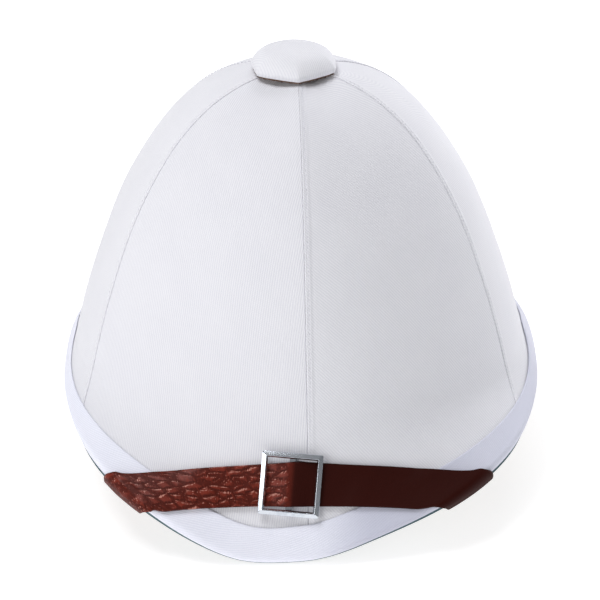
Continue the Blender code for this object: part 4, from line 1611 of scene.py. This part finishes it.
    def strap(self, finish: LeatherFinish) -> bpy.types.Object:
        """The strap as one swept solid with rounded edges.

        Args:
            finish: Its leather.

        Returns:
            The strap.
        """
        places, outs, lifts = self.route()
        places = places + self.buckle[3] * lifts[:, None, None]
        walked = Mesher.lengths(places, 0)[:, 1]
        core = slice(len(places) // 2 - 3, len(places) // 2 + 4)
        middle = float(np.interp(0.0, places[core, 1, 0], walked[core]))
        spots = np.arange(0.0, walked[-1], self.sample_step)

        def resample(values: np.ndarray) -> np.ndarray:
            """Smooth curve through values at the rungs."""
            flat = values.reshape(len(values), -1)
            slopes = np.gradient(flat, walked, axis=0)
            i = np.clip(np.searchsorted(walked, spots, side="right") - 1, 0, len(walked) - 2)
            step = (walked[i + 1] - walked[i])[:, None]
            q = ((spots - walked[i])[:, None]) / step
            curve = (1 + 2 * q) * (1 - q) ** 2 * flat[i] + q * (1 - q) ** 2 * step * slopes[i]
            curve += q * q * (3 - 2 * q) * flat[i + 1] + q * q * (q - 1) * step * slopes[i + 1]
            return curve.reshape((len(spots),) + values.shape[1:])

        places, outs = resample(places), resample(outs)
        t = np.linspace(0.0, 1.0, self.across)
        t = t - 0.6 * np.sin(2 * math.pi * t) / (2 * math.pi)
        weights = np.stack([(1 - t) * (1 - 2 * t), 4 * t * (1 - t), t * (2 * t - 1)], 0)
        under = np.einsum("nka,kt->nta", places, weights)
        out = np.einsum("nka,kt->nta", outs, weights)
        out = out / np.linalg.norm(out, axis=-1, keepdims=True)
        edge = np.minimum(t, 1 - t) * self.width
        near = np.clip(1 - edge / self.edge_width, 0, 1)
        round_over = self.edge_round * (1 - np.sqrt(np.clip(1 - near ** 2, 0, 1)))
        along = (spots - middle)[:, None]
        over_width = (t * self.width)[None, :]
        grid = np.broadcast_arrays(along, over_width * 0.55, 0.0)
        creases = soft_noise(np.stack(grid, -1), self.crease_size, 2.0)
        coarse = smooth(-0.135, -0.090, along) * (1 - smooth(-0.020, -0.012, along))
        relief = self.crease_height * creases * (0.25 + 0.75 * coarse) * smooth(0.0, 0.0015, edge)[None, :]
        over = under + out * (self.thickness - round_over[None, :] + relief)[..., None]
        sections = np.concatenate([under, over[:, ::-1]], axis=1)
        pairs = np.stack(np.broadcast_arrays(along, over_width), -1)
        pairs = np.concatenate([pairs, pairs[:, ::-1]], axis=1).reshape(-1, 2)
        made = Mesher.lofted("chin_strap_leather", sections, False, finish.material(), pairs)
        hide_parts("chin_strap")
        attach(made, "root")
        return made

    def at_buckle(self, along: float, up: float, height: float) -> np.ndarray:
        """World place of a point in the slide's own frame."""
        centre, way, rise, out = self.buckle
        return centre + way * along + rise * up + out * height

    def slide(self, finish: SteelFinish) -> bpy.types.Object:
        """The square slide of four bevelled bars, with its sunk middle bar.

        Args:
            finish: Its metal.

        Returns:
            The slide.
        """
        half_length = self.buckle_length / 2
        half_height = self.width / 2 + self.buckle_room + self.buckle_rim
        low = self.thickness + self.buckle_seat
        profile = (
            (0.03, 0.00), (0.00, 0.06), (0.00, 0.40), (0.03, 0.46), (0.62, 0.97), (0.66, 1.00),
            (0.72, 1.00), (0.76, 0.96), (0.97, 0.50), (1.00, 0.42), (1.00, 0.06), (0.97, 0.00),
        )
        sections = []
        corners = ((1, 1), (-1, 1), (-1, -1), (1, -1))
        for i, (side, rise) in enumerate(corners):
            for bend in np.linspace(0, 90, 9):
                way = math.radians(90 * i + bend)
                section = []
                for inset_share, height in profile:
                    inset = inset_share * self.buckle_rim
                    corner = max(self.buckle_corner - inset, 0.0003)
                    along = side * (half_length - inset - corner) + corner * math.cos(way)
                    up = rise * (half_height - inset - corner) + corner * math.sin(way)
                    section.append(self.at_buckle(along, up, low + height * self.buckle_thickness))
                sections.append(section)
        made = Mesher.lofted("buckle_slide", np.array(sections), True, finish.material())
        inner = half_height - self.buckle_rim
        foot, top = self.buckle_rest, self.buckle_rest + self.buckle_bar
        post_in, post_out = inner + 0.15 * self.buckle_rim, inner + 0.80 * self.buckle_rim
        reach = low + 0.30 * self.buckle_thickness
        outline = (
            (-post_out, foot), (post_out, foot), (post_out, reach), (post_in, reach),
            (post_in, top), (-post_in, top), (-post_in, reach), (-post_out, reach),
        )
        half = self.buckle_bar_width / 2
        points = [self.at_buckle(way, up, h) for way in (-half, half) for up, h in outline]
        count = len(outline)
        faces = [(i, (i + 1) % count, count + (i + 1) % count, count + i) for i in range(count)]
        faces += [tuple(reversed(range(count))), tuple(range(count, 2 * count))]
        bar = Mesher.add("slide_bar", np.array(points), faces, made.data.materials[0])
        change = made.modifiers.new("join", "BOOLEAN")
        change.operation = "UNION"
        change.solver = "EXACT"
        change.object = bar
        bpy.context.view_layer.update()
        joined = bpy.data.meshes.new_from_object(made.evaluated_get(bpy.context.evaluated_depsgraph_get()))
        made.modifiers.clear()
        made.data = joined
        bpy.data.objects.remove(bar, do_unlink=True)
        joined.polygons.foreach_set("use_smooth", [True] * len(joined.polygons))
        joined.set_sharp_from_angle(angle=math.radians(13))
        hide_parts("buckle")
        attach(made, "root")
        return made

    def studs(self, finish: SteelFinish) -> list[bpy.types.Object]:
        """The two studs, kept as solids with a brass finish.

        Args:
            finish: Their metal.

        Returns:
            The studs.
        """
        material = finish.material()
        made = []
        for name in ("strap_stud_left", "strap_stud_right"):
            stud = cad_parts[name]
            for part in stud.material_slots:
                part.material = material
            made.append(stud)
        return made

    def build(self) -> list[bpy.types.Object]:
        """Builds the strap, the slide and the studs."""
        brass = SteelFinish("stud_brass", (0.62, 0.50, 0.26), (0.38, 0.28, 0.12), 0.30)
        steel = SteelFinish("slide_steel", (0.64, 0.67, 0.72), (0.46, 0.50, 0.56), 0.11)
        return [self.strap(LeatherFinish()), self.slide(steel)] + self.studs(brass)


# Room

@dataclass
class Studio:
    """Pale floor, soft light and the camera at the photograph's angle."""

    elevation: float = 25.4
    distance: float = 1.5
    aim: tuple[float, float, float] = (0.0, 0.0, 0.0990)
    aim_pixel: tuple[float, float] = (298.6, 267.4)
    focal_pixels: float = 2724.0
    roll: float = 0.5
    picture: float = 600.0
    floor_reach: float = 6.0
    floor_height: float = -0.0003

    def camera(self) -> None:
        """Places the camera so that the aim falls on its pixel."""
        rise = math.radians(self.elevation)
        back = Vector((0.0, -math.cos(rise), math.sin(rise)))
        target = Vector(self.aim)
        data = bpy.data.cameras.new("camera")
        made = bpy.data.objects.new("camera", data)
        bpy.context.scene.collection.objects.link(made)
        made.location = target + back * self.distance
        look = (-back).to_track_quat("-Z", "Y")
        middle = self.picture / 2
        right = (self.aim_pixel[0] - middle) / self.focal_pixels
        ray = Vector((right, (middle - self.aim_pixel[1]) / self.focal_pixels, -1.0))
        swing = ray.normalized().rotation_difference(Vector((0.0, 0.0, -1.0)))
        spin = Quaternion((0.0, 0.0, 1.0), -math.radians(self.roll))
        made.rotation_mode = "QUATERNION"
        made.rotation_quaternion = look @ spin @ swing
        data.sensor_width = 36.0
        data.lens = self.focal_pixels / self.picture * data.sensor_width
        data.clip_start = 0.05
        data.clip_end = 20.0
        bpy.context.scene.camera = made

    def lamp(self, name: str, place: Sequence[float], size: float, power: float, tint: Colour) -> None:
        """Adds a soft square lamp that looks at the helmet.

        Args:
            name: Its name.
            place: Where it hangs.
            size: Side of its square.
            power: Watts.
            tint: Colour.
        """
        data = bpy.data.lights.new(name, "AREA")
        data.size = size
        data.energy = power
        data.color = tint
        made = bpy.data.objects.new(name, data)
        bpy.context.scene.collection.objects.link(made)
        made.location = Vector(place)
        made.rotation_mode = "QUATERNION"
        made.rotation_quaternion = (Vector(self.aim) - made.location).to_track_quat("-Z", "Y")

    def floor(self) -> None:
        """Adds the wide pale floor, just under the lips on which the helmet stands."""
        reach = self.floor_reach
        corners = ((-reach, -reach), (reach, -reach), (reach, reach), (-reach, reach))
        points = np.array([(x, y, self.floor_height) for x, y in corners])
        graph = Graph("floor_white")
        graph.set(
            Base_Color=(0.55, 0.55, 0.555),
            Roughness=0.9,
            Specular_IOR_Level=0.0,
            Emission_Color=(1.0, 1.0, 1.0),
            Emission_Strength=0.72,
        )
        Mesher.add("floor", points, [(0, 1, 2, 3)], graph.material)

    def build(self) -> None:
        """Builds the room."""
        world = bpy.data.worlds.new("studio")
        world.use_nodes = True
        ground = world.node_tree.nodes["Background"]
        ground.inputs["Color"].default_value = (0.97, 0.98, 1.0, 1.0)
        ground.inputs["Strength"].default_value = 0.25
        bpy.context.scene.world = world
        bpy.context.scene.view_settings.view_transform = "Standard"
        self.floor()
        lamps = (
            ("rear_right", (1.63, 0.94, 0.46), 0.8, 16.6, (0.98, 0.975, 1.0)),
            ("front_left", (-1.00, -1.60, 0.60), 0.8, 8.2, (1.0, 0.99, 0.98)),
            ("rear", (0.23, 1.32, 1.44), 1.0, 10.0, (0.98, 0.98, 1.0)),
            ("high", (-0.56, -0.30, 1.92), 0.8, 18.8, (0.99, 0.99, 1.0)),
            ("left", (-1.61, -0.98, 0.59), 0.46, 2.4, (1.0, 1.0, 1.0)),
        )
        for name, place, size, power, tint in lamps:
            self.lamp(name, place, size, power, tint)
        self.camera()


def main() -> None:
    """Builds every piece in order."""
    logging.basicConfig(level=logging.INFO, format="%(name)s: %(message)s")
    Studio().build()
    cap_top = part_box("button_collar")[1][2]
    plain = HelmetForm()
    form = HelmetForm(lift=float(cap_top) - plain.crown_top_height - 0.0008)
    layers = Layers()
    parts = (Crown(form, layers), Rim(form, layers), Cap(form), Strap(form, layers))
    for part in parts:
        for piece in part.build():
            LOG.info("%s: %d faces", piece.name, len(piece.data.polygons))


if __name__ == "__main__":
    main()
